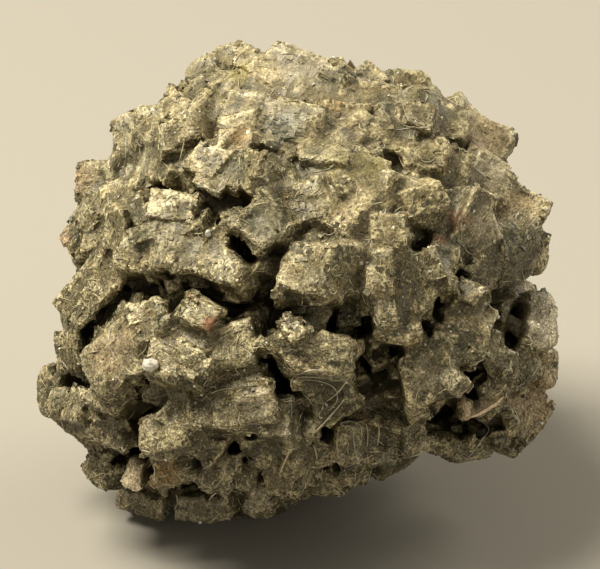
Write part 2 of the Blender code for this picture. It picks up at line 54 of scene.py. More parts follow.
# %% [markdown]
# ## Two ways to say where something is
# Sizes here are in millimetres until a mesh is made. Places on the side that shows
# are easiest to give as the eye sees them: across, up, and towards the eye. The
# ball is seen from 25 degrees above level, so three axes and the ball's centre turn
# such a place into one in the room and back.

# %% View axes
MM = 0.001
VIEW_RISE = math.radians(25)
BALL_CENTRE = np.array((-0.046, 0.163, 8.6))
RIGHT = np.array((1.0, 0.0, 0.0))
UP = np.array((0.0, math.sin(VIEW_RISE), math.cos(VIEW_RISE)))
TOWARD = np.array((0.0, -math.cos(VIEW_RISE), math.sin(VIEW_RISE)))
VIEW_AXES = np.array((RIGHT, UP, TOWARD))
FAR_OUT = 30  # how far from the centre towards the eye such a ray starts


def seen(points):
    """Across, up and toward of points: their offsets from the centre along each axis."""
    return (points - BALL_CENTRE) @ VIEW_AXES.T


def seen_radius(points):
    """Distance from the middle of the view: the square root of across^2 + up^2."""
    return np.hypot(*seen(points)[:, :2].T)


def in_room(across, up, toward):
    """The centre plus so much of each axis: the way back from a place as the eye sees it."""
    return BALL_CENTRE + across * RIGHT + up * UP + toward * TOWARD


def from_eye(tree, across, up):
    """Where a ray that flies away from the eye meets a surface, and its normal, or two Nones."""
    return tree.ray_cast(Vector(in_room(across, up, FAR_OUT)), Vector(-TOWARD))[:2]


print("towards the eye", TOWARD.round(3))


# %% [markdown]
# ## Repeatable roughness
# A grown surface is irregular at every size. It could be sculpted by hand, but then
# it could not be worked out again from a few numbers, so two patterns give most of
# it. Soft noise puts a random value on each corner of a cubic lattice and eases
# between them. Block noise scatters one seed in each lattice cell and gives every
# point the value of its nearest seed, measured like a chess king moves, so its
# patches are little squares with steps between them, as arsenic's growth steps are.
# Random numbers come from a hash of the cell, so each run gives the same stone.

# %% Noise helpers
CELL_PRIMES = (73856093, 19349663, 83492791)
SEED_PRIME = 374761393
STIRS = ((15, 2246822519), (13, 3266489917))  # bits to shift by, then a prime to multiply by
LOW_32_BITS = 0xFFFFFFFF
LOW_24_BITS = 0xFFFFFF


def hashed(cells, seed):
    """A number from 0 to 1 for each cell: its three integers times large primes, mixed."""
    first, second, third = (cells[..., axis] * prime for axis, prime in enumerate(CELL_PRIMES))
    mixed = ((first ^ second ^ third) + seed * SEED_PRIME) & LOW_32_BITS
    for shift, prime in STIRS:
        mixed = ((mixed ^ (mixed >> shift)) * prime) & LOW_32_BITS
    return ((mixed ^ (mixed >> 16)) & LOW_24_BITS) / LOW_24_BITS


def smooth_step(share):
    """s*s*(3-2s): from 0 to 1 without a sudden start or stop."""
    return share * share * (3 - 2 * share)


def soft_noise(points, size, seed):
    """Values from -1 to 1: the eight lattice corners around a point, blended by s*s*(3-2s)."""
    scaled = points / size
    cell = np.floor(scaled).astype(np.int64)
    ease = smooth_step(scaled - cell)
    total = np.zeros(len(points))
    for corner in np.ndindex(2, 2, 2):
        weight = np.prod(np.where(corner, ease, 1 - ease), axis=1)
        total += weight * hashed(cell + np.array(corner), seed)
    return 2 * total - 1


def rough_noise(points, size, seed, layers=3):
    """Soft noise plus the same at half the size and half the height, and so on."""
    total = np.zeros(len(points))
    for layer in range(layers):
        total += soft_noise(points, size / 2 ** layer, seed + layer) / 2 ** layer
    return total / (2 - 2 ** (1 - layers))


# %% Block noise
SEED_SEEDS = (11, 12, 13)  # for the place of a cell's seed along each axis
SEED_LOWEST = 0.15  # the seed keeps this share of the cell from its walls
SEED_SPAN = 0.7
NO_SEED_YET = 9.0  # further than any seed of the 27 cells


def block_noise(points, size, seed):
    """The nearest seed's random value, from -1 to 1, by the largest of the three offsets."""
    scaled = points / size
    cell = np.floor(scaled).astype(np.int64)
    nearest = np.full(len(points), NO_SEED_YET)
    value = np.zeros(len(points))
    for step in np.ndindex(3, 3, 3):
        there = cell + np.array(step) - 1
        jitter = np.stack([hashed(there, seed + extra) for extra in SEED_SEEDS], axis=1)
        away = np.abs(there + SEED_LOWEST + SEED_SPAN * jitter - scaled).max(axis=1)
        closer = away < nearest
        nearest = np.where(closer, away, nearest)
        value = np.where(closer, hashed(there, seed), value)
    return 2 * value - 1


print("block noise at three places", block_noise(np.eye(3), 0.4, 1).round(2))


# %% [markdown]
# ## The large faces and how they lie
# Every small crystal on a face grew in step with the large one below it. The
# directions could be typed in for each face, but the frame holds them already. So
# its mesh is merged, its flat triangles are dissolved into whole faces, and each
# face gives an outward direction and a direction along its longest edge.

# %% Read the large faces
MERGE_GAP = 0.001
FLAT_ANGLE = math.radians(1.5)


def flat_faces(source):
    """A mesh of merged points, then a search tree and the directions of its whole flat faces."""
    shape = bmesh.new()
    shape.from_mesh(source.data)
    bmesh.ops.remove_doubles(shape, verts=shape.verts, dist=MERGE_GAP * MM)
    merged = bpy.data.meshes.new("merged")
    shape.to_mesh(merged)
    bmesh.ops.dissolve_limit(shape, angle_limit=FLAT_ANGLE, verts=shape.verts, edges=shape.edges)
    faces = []
    for face in shape.faces:
        longest = max(face.edges, key=lambda edge: edge.calc_length())
        along = longest.verts[1].co - longest.verts[0].co
        faces.append((face.normal.copy(), along.normalized()))
    tree = BVHTree.FromBMesh(shape)
    shape.free()
    return merged, tree, faces


merged_mesh, face_tree, face_directions = flat_faces(cluster)
print(len(face_directions), "flat faces in the frame")


# %% Give each face three axes
def unit(vectors):
    """Each vector over its length; one of no length stays as it is."""
    return vectors / np.maximum(np.linalg.norm(vectors, axis=-1, keepdims=True), 1e-12)


def flattened(vectors, normals):
    """Unit vectors at right angles to unit normals: v - n(v.n), over its length."""
    return unit(vectors - normals * (vectors * normals).sum(axis=-1, keepdims=True))


normals, alongs = np.array(face_directions).transpose(1, 0, 2)
alongs = flattened(alongs, normals)
FACE_AXES = np.stack((alongs, np.cross(normals, alongs), normals), axis=1)


def host_faces(points):
    """For each point in millimetres, the index of the nearest large face."""
    find = face_tree.find_nearest
    return np.array([find(Vector(point))[2] for point in points * MM])


print(int((FACE_AXES[:, 2, 2] > 0.5).sum()), "of them face up")


# %% [markdown]
# ## Mesh arrays
# The finished stone has hundreds of thousands of points. They could be moved one by
# one in a loop, which takes minutes. Numpy works on whole arrays, so a mesh is read
# into points and triangles once, and written back once. Triangle areas give fair
# random places on a surface.

# %% Reading and writing
def read_mesh(mesh):
    """Points in millimetres and the triangles' corner numbers of a mesh."""
    points = np.empty(len(mesh.vertices) * 3)
    mesh.vertices.foreach_get("co", points)
    mesh.calc_loop_triangles()
    triangles = np.empty(len(mesh.loop_triangles) * 3, dtype=np.int64)
    mesh.loop_triangles.foreach_get("vertices", triangles)
    return points.reshape(-1, 3) / MM, triangles.reshape(-1, 3)


def write_object(name, points, faces):
    """A new object of points in millimetres and faces of equal corner counts."""
    mesh = bpy.data.meshes.new(name)
    mesh.vertices.add(len(points))
    mesh.vertices.foreach_set("co", np.ascontiguousarray(points * MM, dtype=np.float32).ravel())
    corners = faces.shape[1]
    mesh.loops.add(faces.size)
    mesh.loops.foreach_set("vertex_index", faces.astype(np.int32).ravel())
    mesh.polygons.add(len(faces))
    mesh.polygons.foreach_set("loop_start", np.arange(len(faces), dtype=np.int32) * corners)
    mesh.update(calc_edges=True)
    mesh.validate()
    mesh.shade_flat()
    result = bpy.data.objects.new(name, mesh)
    bpy.context.scene.collection.objects.link(result)
    return result


# %% Measuring and scattering
def triangle_facts(points, triangles):
    """Unit normal and area of each triangle, from the cross product of two edges."""
    first, second, third = (points[triangles[:, corner]] for corner in range(3))
    cross = np.cross(second - first, third - first)
    return unit(cross), np.linalg.norm(cross, axis=1) / 2


def scatter(points, triangles, count, dice, weight=None):
    """Random places on triangles, as likely as their area times a weight.

    A place is a + s(b-a) + t(c-a), with s and t folded back where s+t passes 1.
    """
    facing, area = triangle_facts(points, triangles)
    chance = area if weight is None else area * weight
    picked = dice.choice(len(triangles), count, p=chance / chance.sum())
    s, t = dice.random((2, count, 1))
    folded = s + t > 1
    s, t = np.where(folded, 1 - s, s), np.where(folded, 1 - t, t)
    first, second, third = (points[triangles[picked, corner]] for corner in range(3))
    return first + s * (second - first) + t * (third - first), facing[picked], picked


# %% [markdown]
# ## Many small crystals as one mesh
# The smaller crystals all have one shape, a skewed cube. Each could be an object of
# its own, but thousands of objects are slow. So all are made at once: the unit
# corners are scaled by each crystal's sizes, turned by its own axes and moved to its
# place, in one array sum. Each has twelve triangles only, because the shape is
# repeated so often.

# %% Crystals from arrays
CORNERS = np.array([(x, y, z) for x in (-0.5, 0.5) for y in (-0.5, 0.5) for z in (-0.5, 0.5)])
SIDES = np.array(((0, 1, 3, 2), (4, 6, 7, 5), (0, 4, 5, 1), (2, 3, 7, 6), (0, 2, 6, 4), (1, 5, 7, 3)))
SKEW = math.sin(math.radians(5))  # its edges meet at 85 and 95 degrees


def turned_axes(axes, dice, tilt):
    """Each crystal's axes turned by small random angles: A + r x A, made square again."""
    spin = dice.normal(0, tilt, (len(axes), 1, 3))
    moved = axes + np.cross(spin, axes)
    first = unit(moved[:, 0])
    third = flattened(moved[:, 2], first)
    return np.stack((first, np.cross(third, first), third), axis=1)


def seated(places, facing, sizes, proud):
    """Centres of crystals that stand so far proud of their places: p + n(proud - height/2)."""
    return places + facing * (proud - sizes[:, 2] / 2)[:, None]


def crystal_arrays(centres, axes, sizes, dice, uneven):
    """Corners and sides of many skewed cubes: centre + (corner + skew*next corner) * size @ axes."""
    corners = CORNERS[None] + dice.uniform(-uneven, uneven, (len(centres), len(CORNERS), 3))
    leaning = corners * sizes[:, None]
    leaning = leaning + SKEW * np.roll(leaning, -1, axis=2)
    points = centres[:, None] + np.einsum("nci,nij->ncj", leaning, axes)
    faces = SIDES[None] + len(CORNERS) * np.arange(len(centres))[:, None, None]
    return points.reshape(-1, 3), faces.reshape(-1, 4)


# %% [markdown]
# ## Narrow cracks of the upper half
# Where the light falls, the crystals have grown shut: grooves between them are
# shallow. The frame's cracks there are deeper than that, so they are closed. They
# could be filled one by one, but there are dozens. Instead the skin is pushed out,
# which makes narrow cracks overlap, fused to one skin by a voxel remesh, and pushed
# back in. A crack narrower than twice the push is gone.

# %% Helpers for a fused skin
def evaluated(target):
    """Points and triangles of an object as its modifiers leave it, which then goes."""
    graph = bpy.context.evaluated_depsgraph_get()
    mesh = bpy.data.meshes.new_from_object(target.evaluated_get(graph))
    bpy.data.objects.remove(target)
    arrays = read_mesh(mesh)
    bpy.data.meshes.remove(mesh)
    return arrays


def fused(points, triangles, voxel):
    """One closed skin around overlapping solids, by a voxel remesh."""
    heap = write_object("heap", points, triangles)
    remesh = heap.modifiers.new("skin", "REMESH")
    remesh.mode = "VOXEL"
    remesh.voxel_size = voxel * MM
    return evaluated(heap)


def point_normals(points, triangles):
    """Unit normals at the points: the triangles' normals summed by area."""
    facing, area = triangle_facts(points, triangles)
    weighted = facing * area[:, None]
    total = np.zeros_like(points)
    for corner in range(3):
        for axis in range(3):
            total[:, axis] += np.bincount(triangles[:, corner], weighted[:, axis], len(points))
    return unit(total)


# %% Close the narrow cracks
CLOSING_VOXEL = 0.13
LOWER_PUSH = 0.05
UPPER_PUSH = 0.14  # on top of the lower half's
OPEN_PITS = ((-1.85, 1.3), (-0.7, 1.05), (4.4, 1.9))  # across and up of three that stay


def eased(values, start, end):
    """0 up to start, 1 from end on, and s*s*(3-2s) between; start may be the larger of the two."""
    return smooth_step(np.clip((values - start) / (end - start), 0, 1))


def closing_push(points):
    """How far the skin is pushed: most in the upper half, nothing at the pits that stay."""
    places = seen(points)
    push = LOWER_PUSH + UPPER_PUSH * eased(places[:, 1], -0.5, 3.0)
    for across, up in OPEN_PITS:
        away = np.hypot(places[:, 0] - across, places[:, 1] - up)
        push = np.where(places[:, 2] > 0, push * eased(away, 0.5, 1.1), push)
    return push[:, None]


frame_points, frame_triangles = read_mesh(merged_mesh)
shut_points, shut_triangles = fused(frame_points, frame_triangles, CLOSING_VOXEL)
shut_points = shut_points + point_normals(shut_points, shut_triangles) * closing_push(shut_points)
shut_points, shut_triangles = fused(shut_points, shut_triangles, CLOSING_VOXEL)
shut_points = shut_points - point_normals(shut_points, shut_triangles) * closing_push(shut_points)
print("closed skin", len(shut_triangles), "triangles")

# %% [markdown]
# ## Less straight than a ruler
# Real cracks and edges wander. A Displace modifier as it comes moves points along
# their normals only, which leaves an edge straight. So three soft noises, one for
# each direction, shift every point sideways a little: straight slots and edges bend,
# and flat faces dish.

# %% Warp the skin
CRACK_WAVES = ((1.5, 0.16, 101), (0.55, 0.035, 111))


def warped(points, waves):
    """Points moved by three noises per wave, which gives their size, reach and seed."""
    for size, reach, seed in waves:
        shifts = [soft_noise(points, size, seed + axis) for axis in range(3)]
        points = points + reach * np.stack(shifts, axis=1)
    return points


shut_points = warped(shut_points, CRACK_WAVES)
print("bent skin", np.ptp(shut_points, axis=0).round(2), "mm")

# %% [markdown]
# ## Hollows where they are seen
# Some dark hollows give the stone its face: the cave in the middle, the arc of shadow
# under the left shelf, the undercut of the lobe. Booleans could cut them, but leave
# flat walls and sharp rims. So the skin inside is pushed straight back, which cannot
# fold it over itself. Each hollow is an ellipse as the eye sees it, given by its
# middle, half its length and width, its turn in degrees and its depth. Noise frays
# its edge.

# %% List the hollows
HOLLOWS = (
    ("cave", 0.5, -0.8, 1.9, 0.45, -14, 0.7),
    ("right pit", 2.9, -2.5, 0.7, 0.5, 20, 0.7),
    ("slot by the wedge", -0.1, -3.7, 1.4, 0.3, -57, 0.7),
    ("right crack", 5.45, -0.35, 1.0, 0.2, 45, 0.5),
    ("pit by the ledge", 6.45, -3.3, 0.7, 0.25, 50, 0.6),
    ("under the ledge", 5.5, -4.45, 0.85, 0.5, 30, 0.7),
    ("lobe undercut", 7.0, -5.2, 0.95, 0.3, 5, 0.7),
    ("right gap", 8.1, -1.6, 0.7, 0.2, 80, 0.5),
    ("lobe line", 8.5, -3.75, 0.55, 0.14, 35, 0.4),
    ("shelf, left", -6.1, -0.4, 1.15, 0.24, 47, 0.5),
    ("shelf, middle", -4.5, 0.15, 0.9, 0.24, -15, 0.5),
    ("shelf, right", -2.7, -0.4, 1.1, 0.24, -18, 0.5),
    ("under the white grain", -5.8, -3.75, 0.5, 0.2, -60, 0.5),
    ("between the teeth", -5.4, -6.9, 0.5, 0.2, 85, 0.6),
    ("left of the teeth", -6.65, -6.6, 0.35, 0.2, 60, 0.4),
    ("bottom slot", -3.2, -6.2, 0.7, 0.2, 10, 0.35),
    ("bottom crack", -2.1, -6.3, 0.6, 0.18, 50, 0.3),
    ("upper hollow", -2.4, 2.8, 0.8, 0.26, 5, 0.2),
    ("notch, left", -1.7, 1.5, 0.65, 0.2, -50, 0.35),
    ("notch, right", -0.8, 1.25, 0.55, 0.18, 25, 0.45),
    ("pinhole", 0.05, 4.55, 0.2, 0.16, 0, 0.2),
    ("right pinhole", 4.4, 1.9, 0.35, 0.16, -30, 0.4),
)


def hollow_reach(there, hollow):
    """How far places lie from a hollow's middle, 1 at its edge: (x/length)^2 + (y/width)^2, rooted."""
    _, across, up, length, width, roll, _ = hollow
    turn = math.radians(roll)
    sideways, upwards = there[:, 0] - across, there[:, 1] - up
    along = (sideways * math.cos(turn) + upwards * math.sin(turn)) / length
    athwart = (upwards * math.cos(turn) - sideways * math.sin(turn)) / width
    return np.hypot(along, athwart)


print(len(HOLLOWS), "hollows")


# %% Press the hollows in
FRAY_WAVES = ((0.8, 0.12, 145), (0.35, 0.05, 155))
DEPTH_SHARE = 0.85  # of the depths in the list
WALL = (1.2, 0.75)  # where a hollow's wall starts and ends; 1 is the edge of its ellipse
NEAR = 0.4  # millimetres past that edge


def pressed(points):
    """Points on the eye's side moved straight back inside the hollows, by the deepest one."""
    depth = np.zeros(len(points))
    there = seen(warped(points, FRAY_WAVES))
    for hollow in HOLLOWS:
        depth = np.maximum(depth, DEPTH_SHARE * hollow[-1] * eased(hollow_reach(there, hollow), *WALL))
    return points - (depth * eased(seen(points)[:, 2], -1, 1))[:, None] * TOWARD


def near_hollow(places):
    """True where a place on the eye's side lies in a hollow or near its edge."""
    inside = np.zeros(len(places), bool)
    for hollow in HOLLOWS:
        width = hollow[4]
        inside |= hollow_reach(seen(places), hollow) < 1 + NEAR / width
    return inside & (seen(places)[:, 2] > 0)


shut_points = pressed(shut_points)
shut_points[:, 2] = np.maximum(shut_points[:, 2], 0)
shut_tree = BVHTree.FromPolygons(shut_points.tolist(), shut_triangles.tolist(), all_triangles=True)
print("points in or near a hollow", int(near_hollow(shut_points).sum()))

# %% [markdown]
# ## How open a spot lies
# On the real stone small crystals crowd in sheltered corners, and dust gathers on
# what lies open. Blender can bake such shade into a picture of a finished mesh, but
# here the numbers are needed while the shape still grows. So rays leave each spot,
# and the share that meets nothing says how open it lies. A random direction plus the
# normal makes rays near the normal likelier, as it is with light.

# %% Rays that get away
RAY_START = 0.03
OUTWARD = 1.02  # a little over 1, so that no ray points into the stone


def free_share(points, normals, tree, rays, reach, seed):
    """Share of rays over the outward half of a sphere that meet nothing within reach."""
    dice = np.random.default_rng(seed)
    free = np.zeros(len(points))
    starts = points + normals * RAY_START
    cast = tree.ray_cast
    for _ in range(rays):
        aims = unit(dice.normal(size=(len(points), 3))) + normals * OUTWARD
        free += [cast(Vector(start), Vector(aim), reach)[0] is None for start, aim in zip(starts, aims)]
    return free / rays


# %% [markdown]
# ## Middling crystals
# Between the large crystals of the frame and the fine crust are crystals of half a
# millimetre to nearly two. They stand only a little out of the large faces, lie
# nearly parallel to them, and cluster, so that some faces stay almost bare. A
# particle system could spread them. Arrays are used instead, because each crystal's
# chance, size and tilt follow from how sheltered and how high up its place is.

# %% Choose their places
MIDDLING_SEED = 5
MIDDLING_TRIES = 5200
MIDDLING_ABOVE = 0.8  # the level that the stone rests on stays clear of them
dice = np.random.default_rng(MIDDLING_SEED)
places, facing, _ = scatter(shut_points, shut_triangles, MIDDLING_TRIES, dice)
high = places[:, 2] > MIDDLING_ABOVE
places, facing = places[high], facing[high]
sheltered = eased(free_share(places, facing, shut_tree, rays=12, reach=3.0, seed=6), 0.55, 0.2)
crowding = rough_noise(places, size=2.2, seed=21, layers=2)
above = eased(seen(places)[:, 1], -1.0, 4.0)
crown = eased(seen(places)[:, 1], 4.5, 7.0)
chance = 0.13 + 0.22 * crowding + 0.5 * sheltered + 0.1 * above - 0.1 * crown
kept = (chance > dice.random(len(places))) & ~near_hollow(places)
places, facing = places[kept], facing[kept]
sheltered, above, crown = sheltered[kept], above[kept], crown[kept]
print(len(places), "places for middling crystals")

# %% Size, seat and turn them
LEAST_WIDTH = 0.45
LEAST_SHARES = (0.8, 0.6, 0.7)  # of length, depth and height against the width
LARGEST_SHARES = (1.3, 1.0, 1.0)
widths = LEAST_WIDTH + (1.0 + 0.4 * np.maximum(above, sheltered)) * dice.random(len(places)) ** 1.6
sizes = widths[:, None] * dice.uniform(LEAST_SHARES, LARGEST_SHARES, (len(places), 3))
least_proud = 0.04 + 0.15 * sheltered
most_proud = 0.22 + 0.34 * sheltered - 0.08 * np.maximum(above, crown)
at_rim = eased(seen_radius(places), 7.3, 8.6)
proud = sizes[:, 2] * dice.uniform(least_proud, most_proud) * (1 - 0.8 * at_rim)
centres = seated(places, facing, sizes, proud)
tilt = (0.14 + 0.4 * sheltered) * (1 - 0.6 * at_rim)
axes = turned_axes(FACE_AXES[host_faces(places)], dice, tilt[:, None, None])
print("widths from", widths.min().round(2), "to", widths.max().round(2))

# %% [markdown]
# ## Crystals with places of their own
# A few crystals catch the eye one by one: two plugs under the crown, two pale teeth
# at the lower left, a lit block beside the wedge, and stumps deep in the hollows.
# Each is given by its middle as the eye sees it, its sizes, its roll in degrees and
# how far its top stands out. Its height towards the eye could be typed in too, but
# would go wrong with every change below it. So rays on a ring around the spot find
# that height, and their median is not upset by a single crack.

# %% Place them
PLACED = (
    ("plug", 3.35, 4.75, (1.5, 1.5, 1.5), 30, -0.25),
    ("second plug", 3.2, 5.6, (1.2, 1.2, 1.2), 10, -0.25),
    ("tooth", -6.05, -7.0, (0.7, 1.15, 1.2), -24, 0.45),
    ("second tooth", -4.7, -6.85, (0.55, 1.2, 1.2), 30, 0.3),
    ("lit block", -1.5, -4.3, (1.3, 1.1, 1.0), 12, 0.35),
    ("floor of the upper hollow", -2.7, 2.9, (1.6, 1.0, 1.0), 20, -0.15),
    ("first in the cave", -0.2, -0.6, (0.8, 0.6, 0.8), 15, -0.5),
    ("second in the cave", 0.9, -1.0, (0.7, 0.6, 0.8), -25, -0.6),
    ("third in the cave", 1.9, -1.3, (0.8, 0.5, 0.8), 5, -0.5),
    ("in the right pit", 3.1, -2.6, (0.6, 0.7, 0.8), 35, -0.6),
    ("under the shelf", -4.4, 0.1, (0.6, 0.5, 0.7), 10, -0.5),
    ("behind the ledge", 5.3, -4.3, (0.7, 0.6, 0.7), 40, -0.6),
    ("in the round hole", -4.0, -6.75, (0.9, 0.8, 0.9), 25, -0.15),
    ("in the right gap", 8.2, -1.7, (0.6, 0.7, 0.8), 70, -0.6),
    ("in the bottom crack", -2.4, -6.5, (0.9, 0.7, 0.9), -20, -0.25),
)
RING = 0.9
RING_ANGLES = np.arange(12) * math.pi / 6


def placed_crystal(across, up, size, roll, out):
    """Centre and axes of one crystal: its top is out past the median height of the ring's rays."""
    heights = []
    for angle in RING_ANGLES:
        spot, _ = from_eye(shut_tree, across + RING * math.cos(angle), up + RING * math.sin(angle))
        if spot is not None:
            heights.append(seen(np.array(spot))[2])
    turn = math.radians(roll)
    first = math.cos(turn) * RIGHT + math.sin(turn) * UP
    own = np.stack((first, np.cross(TOWARD, first), TOWARD))
    return in_room(across, up, np.median(heights) + out - size[2] / 2), own


placed = [placed_crystal(*entry[1:]) for entry in PLACED]
print(len(placed), "placed crystals")

# %% [markdown]
# ## Small crystals in the hollows
# A hollow in real arsenic isn't smooth: stubby crystals at odd angles line its floor
# and walls. They could be placed one by one like the last ones, but hundreds are needed
# and none stands out. So they are scattered where the skin was pressed in.

# %% Line the hollows
LINING_CRYSTALS = 260
LINING_SEED = 8


def lining(count, seed):
    """Small tilted crystals on the floors and walls of the hollows: centres, axes and sizes."""
    dice = np.random.default_rng(seed)
    weight = near_hollow(shut_points)[shut_triangles].mean(axis=1)
    places, facing, _ = scatter(shut_points, shut_triangles, count, dice, weight)
    widths = 0.25 + 0.5 * dice.random((len(places), 1)) ** 1.5
    sizes = widths * dice.uniform(0.7, 1.3, (len(places), 3))
    proud = sizes[:, 2] * dice.uniform(0.1, 0.5, len(places))
    own = turned_axes(FACE_AXES[host_faces(places)], dice, 0.4)
    return seated(places, facing, sizes, proud), own, sizes


lining_centres, lining_axes, lining_sizes = lining(LINING_CRYSTALS, LINING_SEED)
placed_axes = turned_axes(np.array([own for _, own in placed]), dice, 0.2)
centres = np.concatenate((centres, [centre for centre, _ in placed], lining_centres))
axes = np.concatenate((axes, placed_axes, lining_axes))
sizes = np.concatenate((sizes, [entry[3] for entry in PLACED], lining_sizes))
middling_points, middling_faces = crystal_arrays(centres, axes, sizes, dice, 0.11)
print(len(centres), "crystals in all")

# %% [markdown]
# ## No wider than the ball
# A crystal that sticks out past the rim would change the stone's size and outline.
# It could be cut off, but a cut crystal looks wrong. So one that passes the frame's
# outline as the eye sees it, or the frame's box, is left out whole.

# %% Keep to the outline
SECTOR = 3  # degrees of the view that share one radius
SECTORS = 120
OUTLINE_SLACK = 0.1
BOX_SLACK = 0.15


def ring_facts(points):
    """Distance from the middle of the view, and the number of the sector, of points."""
    there = seen(points)
    sector = (np.degrees(np.arctan2(there[:, 1], there[:, 0])) // SECTOR).astype(int) % SECTORS
    return np.hypot(there[:, 0], there[:, 1]), sector


def within_frame(points):
    """True per crystal whose corners keep to the frame's outline and to its box."""
    frame_reach, frame_sector = ring_facts(frame_points)
    outline_reach = np.zeros(SECTORS)
    np.maximum.at(outline_reach, frame_sector, frame_reach)
    reach, sector = ring_facts(points)
    inside = reach < outline_reach[sector] + OUTLINE_SLACK
    low, high = frame_points.min(axis=0) - BOX_SLACK, frame_points.max(axis=0) + BOX_SLACK
    inside &= (points > low).all(axis=1) & (points < high).all(axis=1)
    return inside.reshape(-1, len(CORNERS)).all(axis=1)


fitting = within_frame(middling_points)
middling_points = middling_points.reshape(-1, len(CORNERS), 3)[fitting].reshape(-1, 3)
middling_faces = middling_faces[:len(SIDES) * fitting.sum()]
print("of them", int(fitting.sum()), "keep to the outline")

# %% [markdown]
# ## One grown surface
# The large and the middling crystals only overlap so far, while the real ones have
# grown into each other. A boolean union could join them, but is slow and fails on
# crystals that share a face. A voxel remesh turns the heap into one closed skin and
# leaves its inner faces out. Crumbs that stay apart from the rest are dropped.

# %% Fuse the crystals
VOXEL = 0.08
middling_triangles = np.concatenate((middling_faces[:, (0, 1, 2)], middling_faces[:, (0, 2, 3)]))
heap_points = np.concatenate((shut_points, middling_points))
heap_triangles = np.concatenate((shut_triangles, middling_triangles + len(shut_points)))
skin_points, skin_triangles = fused(heap_points, heap_triangles, VOXEL)
print("skin", len(skin_points), "points", len(skin_triangles), "triangles")


# %% Keep the largest part
def edge_pairs(triangles):
    """Each edge of the triangles once, as two corner numbers."""
    pairs = np.concatenate((triangles[:, (0, 1)], triangles[:, (1, 2)], triangles[:, (2, 0)]))
    keys = np.unique(np.sort(pairs, axis=1) @ np.array((1 << 32, 1)))
    return np.stack((keys >> 32, keys & LOW_32_BITS), axis=1)


def largest_part(points, triangles):
    """Only the largest joined part: each point takes the lowest label among its neighbours."""
    first, second = edge_pairs(triangles).T
    label, before = np.arange(len(points)), None
    while before is None or (label != before).any():
        before = label.copy()
        lowest = np.minimum(before[first], before[second])
        np.minimum.at(label, before[first], lowest)
        np.minimum.at(label, before[second], lowest)
        label = label[label]
    kept = label == np.bincount(label).argmax()
    print(len(np.unique(label)), "parts; points outside the largest:", int((~kept).sum()))
    return points[kept], (np.cumsum(kept) - 1)[triangles[kept[triangles[:, 0]]]]


skin_points, skin_triangles = largest_part(skin_points, skin_triangles)

# %% [markdown]
# ## Worn edges
# Tarnish and handling have rounded the edges, in some places more than in others. A
# Smooth modifier on its own rounds all of them alike. So each point goes part of the
# way to the mean of its neighbours, by a share that noise gives, and points at the
# rim of the view go twice more, because single teeth show there most.

# %% Neighbours
def joined(points, triangles):
    """The edges as pairs of point numbers, and the number of neighbours of each point."""
    pairs = edge_pairs(triangles)
    return pairs, np.bincount(pairs.ravel(), minlength=len(points)).astype(float)


def neighbour_mean(values, joins, times=1):
    """The mean of the neighbours' values at each point, taken so many times over."""
    pairs, counts = joins
    for _ in range(times):
        total = np.empty_like(values)
        for axis in range(values.shape[1]):
            column = values[:, axis]
            total[:, axis] = np.bincount(pairs[:, 0], column[pairs[:, 1]], len(values))
            total[:, axis] += np.bincount(pairs[:, 1], column[pairs[:, 0]], len(values))
        values = total / counts[:, None]
    return values


# %% Round the edges
RIM_ROUNDS = 2
joins = joined(skin_points, skin_triangles)
softness = np.clip(0.25 + 0.3 * rough_noise(skin_points, 1.6, 31, 2), 0.1, 0.5)[:, None]
skin_points += softness * (neighbour_mean(skin_points, joins) - skin_points)
rim_softness = 0.6 * eased(seen_radius(skin_points), 7.8, 9.2)[:, None]
for _ in range(RIM_ROUNDS):
    skin_points += rim_softness * (neighbour_mean(skin_points, joins) - skin_points)
print("softness from", softness.min().round(2), "to", softness.max().round(2))

# %% [markdown]
# ## Growth steps
# A real face is a stair of tiny square steps, crumbly in between. A bump in the
# material could fake them, but shows nothing at the outline. So each point is pushed
# along its normal by a sum of patterns: square steps of two sizes that follow the
# large face below, and fine crumbly noise. The skin is kept off the level it rests
# on, and is then thinned where it is flat.

# %% Push the skin
SKIN_WAVES = ((0.9, 0.06, 121), (0.4, 0.02, 131))
STEPS = ((0.02, 0.75, 41), (0.01, 0.34, 42))  # height, size and seed
CRUMBS = (0.014, 0.8, 43)


def own_places(points, axes):
    """Each point's place along its own three axes: its dot product with each."""
    return np.einsum("nij,nj->ni", axes, points)


def pushed(points, triangles):
    """Points moved along their normals by block and soft noise of falling sizes."""
    local = own_places(points, FACE_AXES[host_faces(points)])
    lift = sum(height * block_noise(local, size, seed) for height, size, seed in STEPS)
    height, size, seed = CRUMBS
    lift += height * rough_noise(points, size, seed, 2)
    return points + point_normals(points, triangles) * lift[:, None]


skin_points = pushed(warped(skin_points, SKIN_WAVES), skin_triangles)
skin_points[:, 2] = np.maximum(skin_points[:, 2], 0)
print("pushed skin", np.ptp(skin_points, axis=0).round(2), "mm")

# %% Thin the skin
SURFACE_TRIANGLES = 190000
fine = write_object("fine skin", skin_points, skin_triangles)
thin = fine.modifiers.new("thin", "DECIMATE")
thin.ratio = SURFACE_TRIANGLES / len(skin_triangles)
surface_points, surface_triangles = evaluated(fine)
surface_points[:, 2] = np.maximum(surface_points[:, 2], 0)
print("surface", len(surface_points), "points", len(surface_triangles), "triangles")
